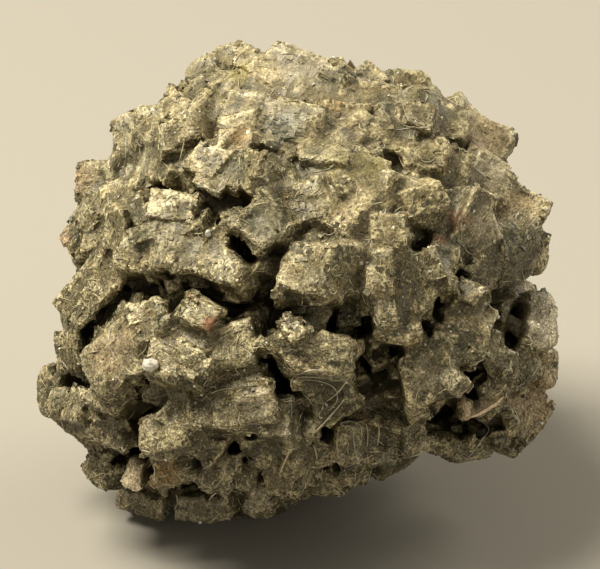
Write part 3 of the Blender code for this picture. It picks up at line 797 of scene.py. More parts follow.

# %% [markdown]
# ## What the colours need to know
# Dust settles on what faces up and lies open, grooves take grime and painted shade,
# rims take wear and a painted highlight, and shut hollows take painted shade. A
# material can see none of this by itself, so numbers per point say it.
# Openness is the share of rays from a point that leave the stone, evened out among
# neighbours. The rim and groove values compare a point with the mean of a small and
# of a wider neighbourhood. Settled says how thick dust can lie.

# %% Measure the surface
RAYS = 10
surface_normals = point_normals(surface_points, surface_triangles)
surface_tree = BVHTree.FromPolygons(surface_points.tolist(), surface_triangles.tolist(), all_triangles=True)
joins = joined(surface_points, surface_triangles)
open_share = free_share(surface_points, surface_normals, surface_tree, RAYS, reach=4.0, seed=7)
open_share = open_share[:, None]
for _ in range(3):
    open_share = 0.5 * open_share + 0.5 * neighbour_mean(open_share, joins)
open_share = open_share[:, 0]
print("openness from", open_share.min().round(2), "to", open_share.max().round(2))

# %% Find rims, grooves and dusty spots
near_mean = neighbour_mean(surface_points, joins, 4)
rim = ((surface_points - near_mean) * surface_normals).sum(axis=1)
wide_mean = neighbour_mean(near_mean, joins, 14)
groove = ((wide_mean - surface_points) * surface_normals).sum(axis=1)
settled = eased(surface_normals[:, 2], -0.1, 0.75) * eased(surface_points[:, 2], 8.0, 19.0)
settled = settled * eased(open_share, 0.2, 0.6)
print("rim height, 5 and 95 per cent", np.percentile(rim, (5, 95)).round(3))
print("groove depth, 5 and 95 per cent", np.percentile(groove, (5, 95)).round(3))

# %% [markdown]
# ## Which crystal a spot belongs to
# Each crystal tarnished a little differently, and fine lines on it run along its own
# edges. The remesh forgot which crystal is which, and a noise can't tell either. So
# each point looks for the nearest side of a middling crystal, and belongs to the
# large face below where none is near. Its tone is that crystal's random number, and
# its lay is its place along that crystal's axes, on which streaks can be drawn.

# %% Find the own crystal of each point
CRYSTAL_REACH = 0.2  # millimetres from its sides within which a point is a crystal's own
TONE_SEED = 9
crystal_tree = BVHTree.FromPolygons(middling_points.tolist(), middling_faces.tolist())


def own_crystals(points):
    """For each point, the number of the middling crystal whose side lies nearest, or -1."""
    find = crystal_tree.find_nearest
    found = [find(Vector(point), CRYSTAL_REACH)[2] for point in points]
    return np.array([-1 if side is None else side // len(SIDES) for side in found])


surface_hosts = host_faces(surface_points)
own = own_crystals(surface_points)
on_crystal = own >= 0
dice = np.random.default_rng(TONE_SEED)
face_tones = dice.uniform(-1, 1, len(FACE_AXES))
crystal_tones = dice.uniform(-1, 1, len(centres))
tone = np.where(on_crystal, crystal_tones[own], face_tones[surface_hosts])
surface_axes = np.where(on_crystal[:, None, None], axes[fitting][own], FACE_AXES[surface_hosts])
print("share of the surface on middling crystals", on_crystal.mean().round(2))

# %% [markdown]
# ## Stains and painted light in their places
# The stone has patches of its own: ochre and red where iron stained it, slate and
# blue grey where the metal is fresh, pale where dust is thick. Some dark ones are
# painted shade, in hollows and on the side away from the key lamp, and a few pale
# ones are painted light on lit blocks. Noise alone would put them anywhere, and a
# painted picture could not be changed by a number. So each is given by its middle as
# the eye sees it, a radius, a colour from a short palette, and a strength. A ray from
# the eye's side finds the spot, and soft noise frays its edge. A later stain covers
# an earlier one.

# %% List the stains
PALETTE = {  # linear red, green and blue
    "cream": (0.72, 0.65, 0.48),
    "sand": (0.70, 0.58, 0.40),
    "pale": (0.55, 0.48, 0.34),
    "tan": (0.42, 0.32, 0.19),
    "pink": (0.46, 0.32, 0.20),
    "ochre": (0.32, 0.20, 0.08),
    "red": (0.30, 0.095, 0.045),
    "yellow": (0.28, 0.24, 0.07),
    "olive": (0.075, 0.066, 0.026),
    "blue grey": (0.13, 0.145, 0.135),
    "slate": (0.044, 0.050, 0.036),
    "dark": (0.018, 0.015, 0.009),
}
# Painted shade: the dark stains in the cave, under the ledge, in the lobe's hollow and on the bottom bars.
# Dark tarnish with painted shade: the dark ones on the wedge, the right flank, the crown's right, behind the
# summit and on the dark face of the dome. Painted light: the pale ones on the two lit blocks, and in part the
# cream far lobe.
STAINS_AND_PAINTED_LIGHT = (
    ("summit", 0.0, 8.0, 1.5, "pale", 0.3),
    ("spot of the step", -0.7, 6.5, 0.4, "pale", 0.7),
    ("side of the step", -0.3, 5.9, 0.9, "blue grey", 0.6),
    ("bump by the step", -2.0, 5.4, 0.6, "ochre", 0.5),
    ("knob by the summit", -2.0, 7.8, 0.6, "yellow", 0.5),
    ("rust of the crown", 1.5, 6.7, 0.45, "ochre", 0.6),
    ("right crown", 5.8, 6.6, 0.5, "yellow", 0.5),
    ("crown", 3.6, 6.6, 1.3, "dark", 0.15),
    ("fresh crown face", 5.1, 6.6, 0.7, "blue grey", 0.6),
    ("dome", 7.0, 5.5, 1.2, "tan", 0.5),
    ("lower dome", 7.2, 4.2, 1.2, "pale", 0.4),
    ("pointed block", 2.7, 4.3, 0.8, "yellow", 0.45),
    ("rust of the shoulder", 5.9, 2.4, 0.6, "red", 0.35),
    ("rust line", 5.2, 1.7, 0.3, "red", 0.7),
    ("light patch", 6.9, 2.2, 0.9, "pale", 0.55),
    ("pale face", 8.2, 2.8, 1.0, "tan", 0.6),
    ("flank", 8.5, 0.6, 2.4, "dark", 0.8),
    ("near flank", 7.3, 0.1, 1.5, "dark", 0.6),
    ("left bump", -8.0, 4.0, 0.8, "pink", 0.5),
    ("left rim", -8.6, 1.7, 0.6, "pink", 0.4),
    ("rust grain", -3.0, -1.4, 0.42, "red", 0.85),
    ("tan face", -6.5, -2.4, 1.3, "tan", 0.6),
    ("lit block", -1.4, -4.2, 0.8, "pale", 0.5),
    ("triangle", -0.3, -5.2, 0.45, "pale", 0.6),
    ("ledge", 6.4, -4.8, 0.4, "pink", 0.8),
    ("ledge end", 7.1, -4.3, 0.4, "pink", 0.7),
    ("far lobe", 9.1, -1.3, 1.4, "cream", 0.85),
    ("wedge", 0.4, -4.3, 1.2, "dark", 0.55),
    ("yellow spot", 4.3, -4.9, 0.3, "yellow", 0.8),
    ("second yellow spot", 2.7, -6.8, 0.25, "yellow", 0.8),
    ("tooth", -6.05, -7.0, 0.85, "sand", 0.9),
    ("second tooth", -4.7, -6.85, 0.75, "ochre", 0.6),
    ("lobe", 8.8, -4.3, 1.8, "tan", 0.65),
    ("under the ledge", 5.6, -4.6, 1.3, "dark", 0.6),
    ("second hollow", 7.1, -5.3, 1.0, "dark", 0.5),
    ("cave", 0.5, -0.8, 1.4, "dark", 0.4),
    ("bottom piece", 3.4, -6.6, 0.5, "blue grey", 0.7),
    ("bottom block", -1.4, -8.0, 0.6, "pale", 0.5),
    ("block by the notch", -0.95, 2.3, 1.0, "slate", 0.5),
    ("crystal left of it", -2.5, 4.0, 0.9, "slate", 0.4),
    ("left shoulder face", -5.5, 4.9, 1.1, "slate", 0.35),
    ("dark knob", -3.5, 8.0, 0.7, "slate", 0.45),
    ("crown crystal", 3.4, 6.7, 0.9, "slate", 0.45),
    ("its neighbour", 4.6, 7.1, 0.7, "dark", 0.3),
    ("brown dome crystal", 6.7, 4.7, 0.9, "dark", 0.3),
    ("top of the flank", 8.3, 1.9, 1.1, "slate", 0.6),
    ("left rim, dark", -7.8, 3.2, 0.9, "olive", 0.45),
    ("over the cave", 0.7, 0.5, 1.1, "olive", 0.5),
    ("right of the bar", 3.7, 0.1, 0.8, "dark", 0.4),
    ("bar, top", 2.75, 0.5, 0.45, "pale", 0.5),
    ("bar, foot", 2.95, -0.6, 0.45, "pale", 0.5),
    ("lit side block", 4.75, -3.3, 0.7, "pale", 0.35),
    ("low left face", -6.7, -5.0, 1.0, "dark", 0.35),
    ("over the wedge", -2.3, -2.6, 0.9, "olive", 0.45),
    ("left end", -8.2, -2.9, 0.8, "olive", 0.4),
    ("yellow patch", 1.6, 4.4, 0.9, "yellow", 0.3),
    ("bottom bar", -5.9, -8.4, 1.0, "dark", 0.5),
    ("second bottom bar", -3.5, -8.4, 1.0, "dark", 0.5),
    ("dark face of the dome", 6.1, 3.3, 0.9, "dark", 0.35),
    ("wedge, left", -0.6, -2.9, 1.0, "dark", 0.4),
    ("wedge, right", 1.4, -4.6, 1.0, "dark", 0.4),
    ("crown, right", 4.3, 6.3, 1.3, "dark", 0.25),
    ("behind the summit", 0.7, 7.3, 1.2, "dark", 0.15),
    ("low flank", 8.3, -0.3, 1.2, "dark", 0.5),
    ("over the flank", 7.9, 1.2, 1.0, "slate", 0.4),
    ("left of the plug", 1.0, 3.2, 0.9, "olive", 0.35),
)
print(len(STAINS_AND_PAINTED_LIGHT), "stains")


# %% Paint the stains
UNSTAINED = 0.2  # the colour where no stain is, which its share of 0 keeps out of sight
FRAYED = 0.45  # how far noise moves a stain's edge, against its radius


def front_spot(across, up):
    """Where a ray from the eye's side meets the surface, and the normal there."""
    place, normal = from_eye(surface_tree, across, up)
    if place is None:
        raise ValueError(f"nothing shows at {across}, {up}")
    return np.array(place), np.array(normal)


def painted(points):
    """Colour and share of stains and painted light at points: each in turn covers what is under it."""
    colours = np.full((len(points), 3), UNSTAINED)
    share = np.zeros(len(points))
    fray = FRAYED * rough_noise(points, 0.5, 91, 3)
    for _, across, up, radius, name, strength in STAINS_AND_PAINTED_LIGHT:
        place, _ = front_spot(across, up)
        away = np.linalg.norm(points - place, axis=1) / radius + fray
        cover = strength * eased(away, 1.0, 0.45)
        total = cover + share * (1 - cover)
        part = np.where(total > 0, cover / np.maximum(total, 1e-9), 0)[:, None]
        colours = colours * (1 - part) + np.array(PALETTE[name]) * part
        share = total
    return np.column_stack((colours, share))


stain_and_painted_light = painted(surface_points)
print("stained points", int((stain_and_painted_light[:, 3] > 0.1).sum()))

# %% [markdown]
# ## The surface piece
# The stone's own skin becomes an object here. It could be shaded flat like a gem,
# but tarnish softens the facets. So it is shaded smooth, with a crease wherever two
# triangles meet at more than 24 degrees. The numbers measured above are stored on
# its points as attributes, which a material can read.

# %% Build the surface piece
CREASE = math.radians(24)
FULL_RIM = 0.06  # millimetres that count as 1
FULL_GROOVE = 0.16
ATTRIBUTE_FIELDS = {"FLOAT": "value", "FLOAT_VECTOR": "vector", "FLOAT_COLOR": "color"}


def add_attribute(target, name, kind, values):
    """Store one value, vector or colour per point, which materials can read by its name."""
    layer = target.data.attributes.new(name, kind, "POINT")
    layer.data.foreach_set(ATTRIBUTE_FIELDS[kind], np.ascontiguousarray(values, dtype=np.float32).ravel())


def dress(piece, numbers, lay, stain_and_painted_light):
    """Store all that the tarnish reads: the numbers, the lay in metres, and the stains with painted light."""
    for name, values in numbers.items():
        add_attribute(piece, name, "FLOAT", values)
    add_attribute(piece, "lay", "FLOAT_VECTOR", lay * MM)
    add_attribute(piece, "stain_and_painted_light", "FLOAT_COLOR", stain_and_painted_light)


surface = write_object("crystal_surface", surface_points, surface_triangles)
surface.data.shade_smooth()
surface.data.set_sharp_from_angle(angle=CREASE)
surface_numbers = {
    "settled": settled, "openness": open_share, "tone": tone,
    "rim": np.clip(rim / FULL_RIM, -1, 1), "groove": np.clip(groove / FULL_GROOVE, -1, 1),
}
dress(surface, surface_numbers, own_places(surface_points, surface_axes), stain_and_painted_light)
print(surface.name, len(surface_triangles), "triangles")

# %% [markdown]
# ## Scaly crust
# Close up, every face is a crust of chips a twentieth to a third of a millimetre
# wide. A bump can't give them, because they catch light and stand out at the rim,
# and the remesh is too coarse for them. So they are a scatter of the same skewed
# cubes, flat ones among them, sunk until only a sliver shows. They crowd in patches
# and thin out under thick dust and in deep shade. They come as three pieces, because
# a single one would have more triangles than its exported file can keep.

# %% Scatter the chips
CHIPS_ABOVE = 0.35  # millimetres over the level that the stone rests on
LEAST_AGREEMENT = 0.6  # between a triangle's normal and the smooth one, as a cosine
chip_crowd = np.clip(0.1 + 1.1 * rough_noise(surface_points, 1.3, 51, 2), 0.06, 1.2)
chip_crowd = chip_crowd * (1 - 0.6 * settled) * eased(open_share, 0.12, 0.4)


def scatter_above(count, dice, crowd, least):
    """Random places above a level on the surface, as likely as the crowd value of each point."""
    weight = crowd[surface_triangles].mean(axis=1)
    places, facing, picked = scatter(surface_points, surface_triangles, count, dice, weight)
    high = places[:, 2] > least
    return places[high], facing[high], picked[high]


def chip_arrays(count, seed):
    """Many small sunken crystals on the surface, turned nearly as their hosts, and what they carry."""
    dice = np.random.default_rng(seed)
    places, facing, picked = scatter_above(count, dice, chip_crowd, CHIPS_ABOVE)
    host = surface_triangles[picked, 0]
    smooth = surface_normals[surface_triangles[picked]].mean(axis=1)
    agree = (facing * smooth).sum(axis=1, keepdims=True) > LEAST_AGREEMENT
    facing = unit(np.where(agree, facing, smooth))
    along = flattened(FACE_AXES[surface_hosts[host]][:, 0], facing)
    axes = turned_axes(np.stack((along, np.cross(facing, along), facing), axis=1), dice, 0.1)
    widths = 0.05 + 0.25 * dice.random(len(places)) ** 2.2
    sizes = widths[:, None] * dice.uniform((0.8, 0.4, 0.4), (1.6, 1.0, 0.8), (len(places), 3))
    proud = np.minimum(sizes[:, 2] * 0.5, dice.uniform(0.004, 0.022, len(places)))
    centres = seated(places, facing, sizes, proud)
    points, faces = crystal_arrays(centres, axes, sizes, dice, 0.12)
    tones = dice.uniform(-1, 1, len(places))
    return points, faces, np.repeat(tones, len(CORNERS)), np.repeat(host, len(CORNERS))


# %% Build three pieces of chips
CHIPS_PER_PIECE = 9000
CHIP_SEED = 60
chips = []
for number in (1, 2, 3):
    points, faces, tones, host = chip_arrays(CHIPS_PER_PIECE, CHIP_SEED + number)
    piece = write_object(f"crust_chips_{number}", points, faces)
    level = np.zeros(len(points))
    numbers = {
        "settled": settled[host], "openness": open_share[host], "tone": tones,
        "rim": level, "groove": level,
    }
    dress(piece, numbers, own_places(points, surface_axes[host]), stain_and_painted_light[host])
    chips.append(piece)
    print(piece.name, len(faces) * 2, "triangles")

# %% [markdown]
# ## Lint
# Under a lens the stone is fuzzy: short hairs of lint cling to every rough rim, and
# a few long fibres lie across the blocks. Blender's hair could grow them, but stands
# off the surface and doesn't export as a mesh. So a fibre is a walk over the surface.
# Each step goes on along a heading that turns evenly, then drops to the nearest
# point.

# %% Walk over the surface
def laid_paths(starts, normals, lengths, bends, steps, dice):
    """Walks of points over the surface, and the surface's normals there."""
    heading = np.cross(normals, dice.normal(size=starts.shape))
    here, facing = starts, normals
    path, lifts = [here], [facing]
    for _ in range(steps):
        heading = flattened(heading + np.cross(facing, heading) * bends[:, None], facing)
        ahead = here + heading * (lengths / steps)[:, None]
        found = [surface_tree.find_nearest(Vector(point)) for point in ahead]
        here = np.array([hit[0] for hit in found])
        facing = np.array([hit[1] for hit in found])
        path.append(here)
        lifts.append(facing)
    return np.stack(path, axis=1), np.stack(lifts, axis=1)


# %% [markdown]
# ## From a path to a fibre
# A fibre is round and tapers to both ends. A curve with a bevel would do for one of
# them, but there are thousands. So rings of four points are set around the smoothed
# walk, each as wide as the root of 4s(1-s), where s runs from 0 to 1 along it, and
# the middle arches off the stone by sin(pi s) times a small height.

# %% Wrap the paths
AROUND = 4  # points on a ring
LEAST_TAPER = 0.03  # leaves the ends a sixth of the width, its root


def ring_sides(steps, count):
    """The four-sided faces between the rings of each tube, and one at either end."""
    row = np.arange(steps - 1)[:, None] * AROUND
    corner = np.arange(AROUND)[None]
    after = (corner + 1) % AROUND
    sides = np.stack((row + corner, row + after, row + after + AROUND, row + corner + AROUND), axis=-1)
    ends = np.array(((3, 2, 1, 0), (0, 1, 2, 3))) + np.array(((0,), ((steps - 1) * AROUND,)))
    pattern = np.concatenate((sides.reshape(-1, AROUND), ends))
    return (pattern[None] + (np.arange(count) * steps * AROUND)[:, None, None]).reshape(-1, AROUND)


def tube_arrays(path, lifts, radii, height):
    """Rings of four points around smoothed, lifted walks, and the sides between them."""
    for line in (path, lifts):
        for _ in range(2):
            line[:, 1:-1] = (line[:, :-2] + 2 * line[:, 1:-1] + line[:, 2:]) / 4
    lifts = unit(lifts)
    along = unit(np.gradient(path, axis=1))
    side = unit(np.cross(lifts, along))
    up = np.cross(along, side)
    count, steps, _ = path.shape
    share = np.linspace(0, 1, steps)
    thick = radii[:, None] * np.sqrt(np.clip(4 * share * (1 - share), LEAST_TAPER, 1))
    middle = path + lifts * (height[:, None] * np.sin(math.pi * share))[:, :, None]
    angles = np.arange(AROUND) * 2 * math.pi / AROUND
    ring = np.cos(angles)[:, None] * side[:, :, None] + np.sin(angles)[:, None] * up[:, :, None]
    points = middle[:, :, None] + ring * thick[:, :, None, None]
    return points.reshape(-1, 3), ring_sides(steps, count)


# %% Scatter the lint
LINT_ABOVE = 1.0
BENDING = 1.6  # spread of a fibre's whole turn, in radians
lint_crowd = np.clip(0.25 + rough_noise(surface_points, 1.8, 71, 2), 0.02, 1)
lint_crowd = lint_crowd * (0.4 + np.clip(rim / 0.05, 0, 1)) * eased(open_share, 0.2, 0.5)
lint_crowd = lint_crowd * (1 - 0.7 * settled)


def lint(name, count, steps, shortest, longest, thinnest, thickest, seed):
    """One piece of many fibres that start where rims and noise gather them."""
    dice = np.random.default_rng(seed)
    starts, normals, _ = scatter_above(count, dice, lint_crowd, LINT_ABOVE)
    lengths = shortest + (longest - shortest) * dice.random(len(starts)) ** 2
    bends = dice.normal(0, BENDING, len(starts)) / steps
    radii = dice.uniform(thinnest, thickest, len(starts))
    path, lifts = laid_paths(starts, normals, lengths, bends, steps, dice)
    points, faces = tube_arrays(path, lifts, radii, dice.uniform(0.005, 0.04, len(starts)))
    piece = write_object(name, points, faces)
    print(name, len(starts), "fibres", 2 * len(faces), "triangles")
    return piece


hairs = lint("lint_hairs", count=4400, steps=5, shortest=0.18, longest=0.9,
             thinnest=0.012, thickest=0.022, seed=81)
fibres = lint("lint_fibres", count=90, steps=22, shortest=1.2, longest=4.5,
              thinnest=0.014, thickest=0.024, seed=82)

# %% [markdown]
# ## Fibres and a ledge with places of their own
# Ten pale fibres can be told apart, and a thin pale ledge runs in a V across the
# pit of the lobe. Random walks would never lie where these do, so each is a curve
# from one place to another that bends towards a third, all as the eye sees them. It
# is dropped on the stone from the eye's side, but never falls into a pit between its
# ends.

# %% Lay them
FIBRES_SEEN = (
    ((-4.0, 5.3), (-4.05, 4.9), (-4.2, 4.5)), ((-3.4, -4.2), (-2.7, -3.5), (-1.9, -3.8)),
    ((1.1, -4.2), (1.6, -3.9), (1.9, -3.3)), ((1.7, -4.9), (1.4, -5.6), (1.6, -6.3)),
    ((2.5, -4.8), (2.8, -5.5), (2.55, -6.2)), ((3.0, -4.9), (3.15, -5.4), (3.0, -5.9)),
    ((0.65, -5.8), (0.8, -6.1), (0.8, -6.4)), ((-0.1, -5.8), (-0.4, -6.4), (-0.6, -7.0)),
    ((0.5, -5.5), (1.5, -4.6), (2.4, -3.2)), ((-3.2, -8.0), (-3.0, -7.6), (-2.6, -7.5)),
)
LEDGE_SEEN = (((6.15, -3.95), (6.2, -4.4), (6.42, -4.85)), ((6.38, -4.85), (7.0, -4.6), (7.7, -4.02)))
FIBRE_RADIUS = 0.026
LEDGE_RADIUS = 0.12


def fibre_path(points, steps):
    """One path from a to c that bends towards b: (1-s)^2 a + 2s(1-s) b + s^2 c.

    Its height is the stone's, but no less than on the line from end to end.
    """
    first, middle, last = (np.array(point) for point in points)
    share = np.linspace(0, 1, steps + 1)[:, None]
    flat = (1 - share) ** 2 * first + 2 * share * (1 - share) * middle + share ** 2 * last
    height = np.array([seen(front_spot(across, up)[0])[2] for across, up in flat])
    height = np.maximum(height, height[0] + (height[-1] - height[0]) * share[:, 0])
    return BALL_CENTRE + np.column_stack((flat, height)) @ VIEW_AXES


def placed_fibres(name, shapes, steps, thick, height):
    """One piece of the fibres in the list, each by its three places."""
    path = np.stack([fibre_path(shape, steps) for shape in shapes])
    lifts = np.broadcast_to(TOWARD, path.shape).copy()
    points, faces = tube_arrays(path, lifts, np.full(len(shapes), thick), np.full(len(shapes), height))
    print(name, 2 * len(faces), "triangles")
    return write_object(name, points, faces)


seen_fibres = placed_fibres("placed_fibres", FIBRES_SEEN, steps=14, thick=FIBRE_RADIUS, height=0.05)
ledge = placed_fibres("pale_ledge", LEDGE_SEEN, steps=10, thick=LEDGE_RADIUS, height=0.03)

# %% [markdown]
# ## Specks
# Specks of sand and salt, a few hundredths of a millimetre wide, stick to the stone
# all over. Flecks in the material could stand for them, but these catch light from
# the side. So each is a tiny uneven cube turned any way, sunk by three tenths of its
# height.

# %% Scatter the specks
SPECKS = 1500
SPECK_SEED = 88
SPECKS_ABOVE = 1.0
SPECK_LIFT = 0.2  # of its centre over the surface, against its height


def speck_arrays(count, seed):
    """Uneven little cubes, turned at random: width 0.03 + 0.06 r^3 for a random r."""
    dice = np.random.default_rng(seed)
    places, facing, _ = scatter_above(count, dice, eased(open_share, 0.3, 0.6), SPECKS_ABOVE)
    widths = 0.03 + 0.06 * dice.random(len(places)) ** 3
    sizes = widths[:, None] * dice.uniform(0.7, 1.3, (len(places), 3))
    axes = np.broadcast_to(np.eye(3), (len(places), 3, 3))
    centres = places + facing * SPECK_LIFT * sizes[:, 2:]
    return crystal_arrays(centres, turned_axes(axes, dice, 1.0), sizes, dice, 0.2)


points, faces = speck_arrays(SPECKS, SPECK_SEED)
specks = write_object("pale_specks", points, faces)
print(specks.name, 2 * len(faces), "triangles")

# %% [markdown]
# ## Three stray grains
# A white grain, a small white one and a yellow one are large enough to have a shape
# of their own. A cube would look like one more crystal. So each is a sphere's grid
# of angles, squared off a little and made lumpy by noise, and sunk by a third.

# %% Make the grains
GRAIN_ROWS = 15
GRAIN_COLUMNS = 24
GRAIN_LIFT = 0.2  # of its centre over the surface, against its size


def ball_points():
    """A sphere of radius 1: (sin a cos b, sin a sin b, cos a) on a grid, then its two poles."""
    height = np.linspace(0, math.pi, GRAIN_ROWS + 2)[1:-1, None]
    around = np.linspace(0, 2 * math.pi, GRAIN_COLUMNS, endpoint=False)[None]
    grid = (np.sin(height) * np.cos(around), np.sin(height) * np.sin(around), np.cos(height) + 0 * around)
    return np.concatenate((np.stack(grid, axis=-1).reshape(-1, 3), ((0, 0, 1.0), (0, 0, -1.0))))


def ball_triangles():
    """Two triangles for each cell of the grid, and a fan at either pole."""
    row = np.arange(GRAIN_ROWS - 1)[:, None] * GRAIN_COLUMNS
    column = np.arange(GRAIN_COLUMNS)
    after = (column + 1) % GRAIN_COLUMNS
    below = row + GRAIN_COLUMNS
    quads = np.stack((row + column, below + column, below + after, row + after), -1).reshape(-1, 4)
    top = np.full(GRAIN_COLUMNS, GRAIN_ROWS * GRAIN_COLUMNS)
    last = (GRAIN_ROWS - 1) * GRAIN_COLUMNS
    fans = (np.stack((top, column, after), -1), np.stack((top + 1, last + after, last + column), -1))
    return np.concatenate((quads[:, (0, 1, 2)], quads[:, (0, 2, 3)], *fans))


def stray_grain(name, across, up, size, stretch, seed):
    """One grain: r = 1 plus soft and block noise, times the largest part of the direction^-0.45."""
    place, normal = front_spot(across, up)
    ball = ball_points()
    radius = 1 + 0.3 * rough_noise(ball, 0.9, seed, 3) + 0.15 * block_noise(ball, 0.8, seed + 5)
    squared = np.abs(ball).max(axis=1) ** -0.45
    ball = ball * (radius * squared)[:, None] * np.array(stretch)
    triangles = ball_triangles()
    piece = write_object(name, place + normal * size * GRAIN_LIFT + ball * size / 2, triangles)
    piece.data.shade_smooth()
    print(name, len(triangles), "triangles")
    return piece


white_grain = stray_grain("white_grain", -5.15, -2.9, size=0.5, stretch=(1.2, 0.8, 0.7), seed=201)
small_white_grain = stray_grain("small_white_grain", -3.1, 1.85, size=0.24, stretch=(0.9, 0.9, 1.0), seed=202)
yellow_grain = stray_grain("yellow_grain", -1.67, -1.1, size=0.26, stretch=(0.8, 0.8, 1.1), seed=203)

# %% [markdown]
# ## Shorthand for materials
# A material is a net of small nodes, each a sum, a noise or a mix. It could be drawn
# by hand in the editor, but a script can be read and changed. One class holds the
# few kinds that are needed, so that each layer of the finish takes a line or two.

# %% Node helpers
class Nodes:
    """A new material, with shorthand that adds nodes and links them."""

    def __init__(self, name):
        self.material = bpy.data.materials.new(name)
        self.material.use_nodes = True
        self.tree = self.material.node_tree
        self.shader = self.tree.nodes["Principled BSDF"]
        self.where = self.add("ShaderNodeTexCoord").outputs["Object"]

    def add(self, kind, **settings):
        """A new node of a kind, with its settings."""
        node = self.tree.nodes.new(kind)
        for name, value in settings.items():
            setattr(node, name, value)
        return node

    def put(self, socket, value):
        """Link a source to a socket, or set a plain value there."""
        if isinstance(value, bpy.types.NodeSocket):
            self.tree.links.new(value, socket)
        else:
            socket.default_value = value

    def fill(self, sockets, values):
        """Put the values into the first sockets, in their order."""
        for socket, value in zip(sockets, values):
            self.put(socket, value)

    def give(self, name, value):
        """Set or link one input of the shader itself."""
        self.put(self.shader.inputs[name], value)

    def number(self, name):
        """One of the numbers that are stored on the points."""
        return self.add("ShaderNodeAttribute", attribute_name=name).outputs["Fac"]

    def math(self, operation, *values):
        """One sum of up to three values; MULTIPLY_ADD gives a * b + c."""
        node = self.add("ShaderNodeMath", operation=operation)
        self.fill(node.inputs, values)
        return node.outputs[0]

    def times(self, product, *factors):
        """All of them multiplied: a * b * c and so on."""
        for factor in factors:
            product = self.math("MULTIPLY", product, factor)
        return product

    def gap(self, value, middle):
        """How far a value lies from a middle one, either way."""
        return self.math("ABSOLUTE", self.math("SUBTRACT", value, middle))

    def span(self, value, low, high, start=0.0, end=1.0):
        """From start at low to end at high, eased by s*s*(3-2s)."""
        node = self.add("ShaderNodeMapRange", interpolation_type="SMOOTHSTEP")
        self.fill(node.inputs, (value, low, high, start, end))
        return node.outputs[0]

    def noise(self, size, detail=3.0, roughness=0.6, distortion=0.0, where=None):
        """Soft noise of a size in millimetres, around 0.5."""
        node = self.add("ShaderNodeTexNoise")
        self.put(node.inputs["Vector"], self.where if where is None else where)
        settings = {
            "Scale": 1 / (size * MM), "Detail": detail, "Roughness": roughness, "Distortion": distortion,
        }
        for name, value in settings.items():
            self.put(node.inputs[name], value)
        return node.outputs["Fac"]

    def cells(self, size):
        """A random colour for each cell of a size in millimetres."""
        node = self.add("ShaderNodeTexVoronoi")
        self.put(node.inputs["Vector"], self.where)
        self.put(node.inputs["Scale"], 1 / (size * MM))
        return node.outputs["Color"]

    def mix(self, share, first, second):
        """The first colour with a share of the second: a (1-s) + b s."""
        node = self.add("ShaderNodeMix", data_type="RGBA", blend_type="MIX")
        self.fill((node.inputs["Factor"], node.inputs[6], node.inputs[7]), (share, first, second))
        return node.outputs[2]

    def scaled(self, tint, factor):
        """A colour made lighter or darker: each of its parts times a factor."""
        node = self.add("ShaderNodeVectorMath", operation="SCALE")
        self.fill((node.inputs[0], node.inputs["Scale"]), (tint, factor))
        return node.outputs[0]

    def height_of(self, vector):
        """The upward part of a place or a direction."""
        node = self.add("ShaderNodeSeparateXYZ")
        self.put(node.inputs[0], vector)
        return node.outputs["Z"]

    def bump(self, height, strength, distance):
        """Let the light see a relief of so many millimetres."""
        node = self.add("ShaderNodeBump")
        values = {"Height": height, "Strength": strength, "Distance": distance * MM}
        for name, value in values.items():
            self.put(node.inputs[name], value)
        self.give("Normal", node.outputs[0])


# %% [markdown]
# ## The metal under the dust
# Fresh arsenic is tin white, and darkens in air to grey, olive and brown, patch by
# patch and crystal by crystal. One flat colour with a picture over it would show no
# crystal. So the colour is mixed from a few by noise of several sizes and by each
# crystal's tone. What more than one layer reads is kept in one place.

# %% Metal colours
def colour(red, green, blue):
    """A colour for a socket, from linear red, green and blue."""
    return (red, green, blue, 1.0)


METAL_GREY = colour(0.040, 0.038, 0.022)
OLIVE = colour(0.068, 0.057, 0.023)
TAN = colour(0.180, 0.140, 0.064)
SLATE = colour(0.066, 0.072, 0.048)
BROWN = colour(0.150, 0.098, 0.045)
STREAK_STRETCH = (0.22, 1.0, 1.0)  # streaks are long along a crystal's first axis


class Tarnish(Nodes):
    """The noises and attributes that several layers of the tarnish read."""

    def __init__(self, name):
        super().__init__(name)
        self.patchy = self.noise(0.7, detail=4, roughness=0.65, distortion=0.4)
        self.grainy = self.noise(0.13, detail=3, roughness=0.7)
        self.mottled = self.noise(0.28, detail=3, roughness=0.65, distortion=0.6)
        self.open = self.number("openness")
        self.tone = self.number("tone")
        self.settled = self.number("settled")
        self.upward = self.height_of(self.add("ShaderNodeNewGeometry").outputs["Normal"])
        # lit: open spots that face up, where the key lamp's light falls; felt and flecks are painted paler
        # there, a painted highlight.
        self.lit = self.times(self.span(self.open, 0.2, 0.5), self.span(self.upward, -0.6, 0.6, 0.4, 1.0))
        stretched = self.add("ShaderNodeVectorMath", operation="MULTIPLY")
        lay = self.add("ShaderNodeAttribute", attribute_name="lay").outputs["Vector"]
        self.fill(stretched.inputs, (lay, STREAK_STRETCH))
        self.streaks = self.noise(0.15, detail=3, roughness=0.65, distortion=0.5, where=stretched.outputs[0])


def bare_metal(nodes):
    """Grey and olive by noise, tan in patches, slate and brown by the crystal's tone."""
    base = nodes.mix(nodes.span(nodes.patchy, 0.38, 0.62), METAL_GREY, OLIVE)
    base = nodes.mix(nodes.span(nodes.noise(2.4, detail=4), 0.42, 0.66, 0.0, 0.35), base, TAN)
    base = nodes.mix(nodes.span(nodes.tone, -0.1, -0.9, 0.0, 0.65), base, SLATE)
    base = nodes.mix(nodes.span(nodes.tone, 0.4, 1.0, 0.0, 0.4), base, BROWN)
    return nodes.mix(nodes.span(nodes.mottled, 0.46, 0.66, 0.0, 0.5), base, TAN)


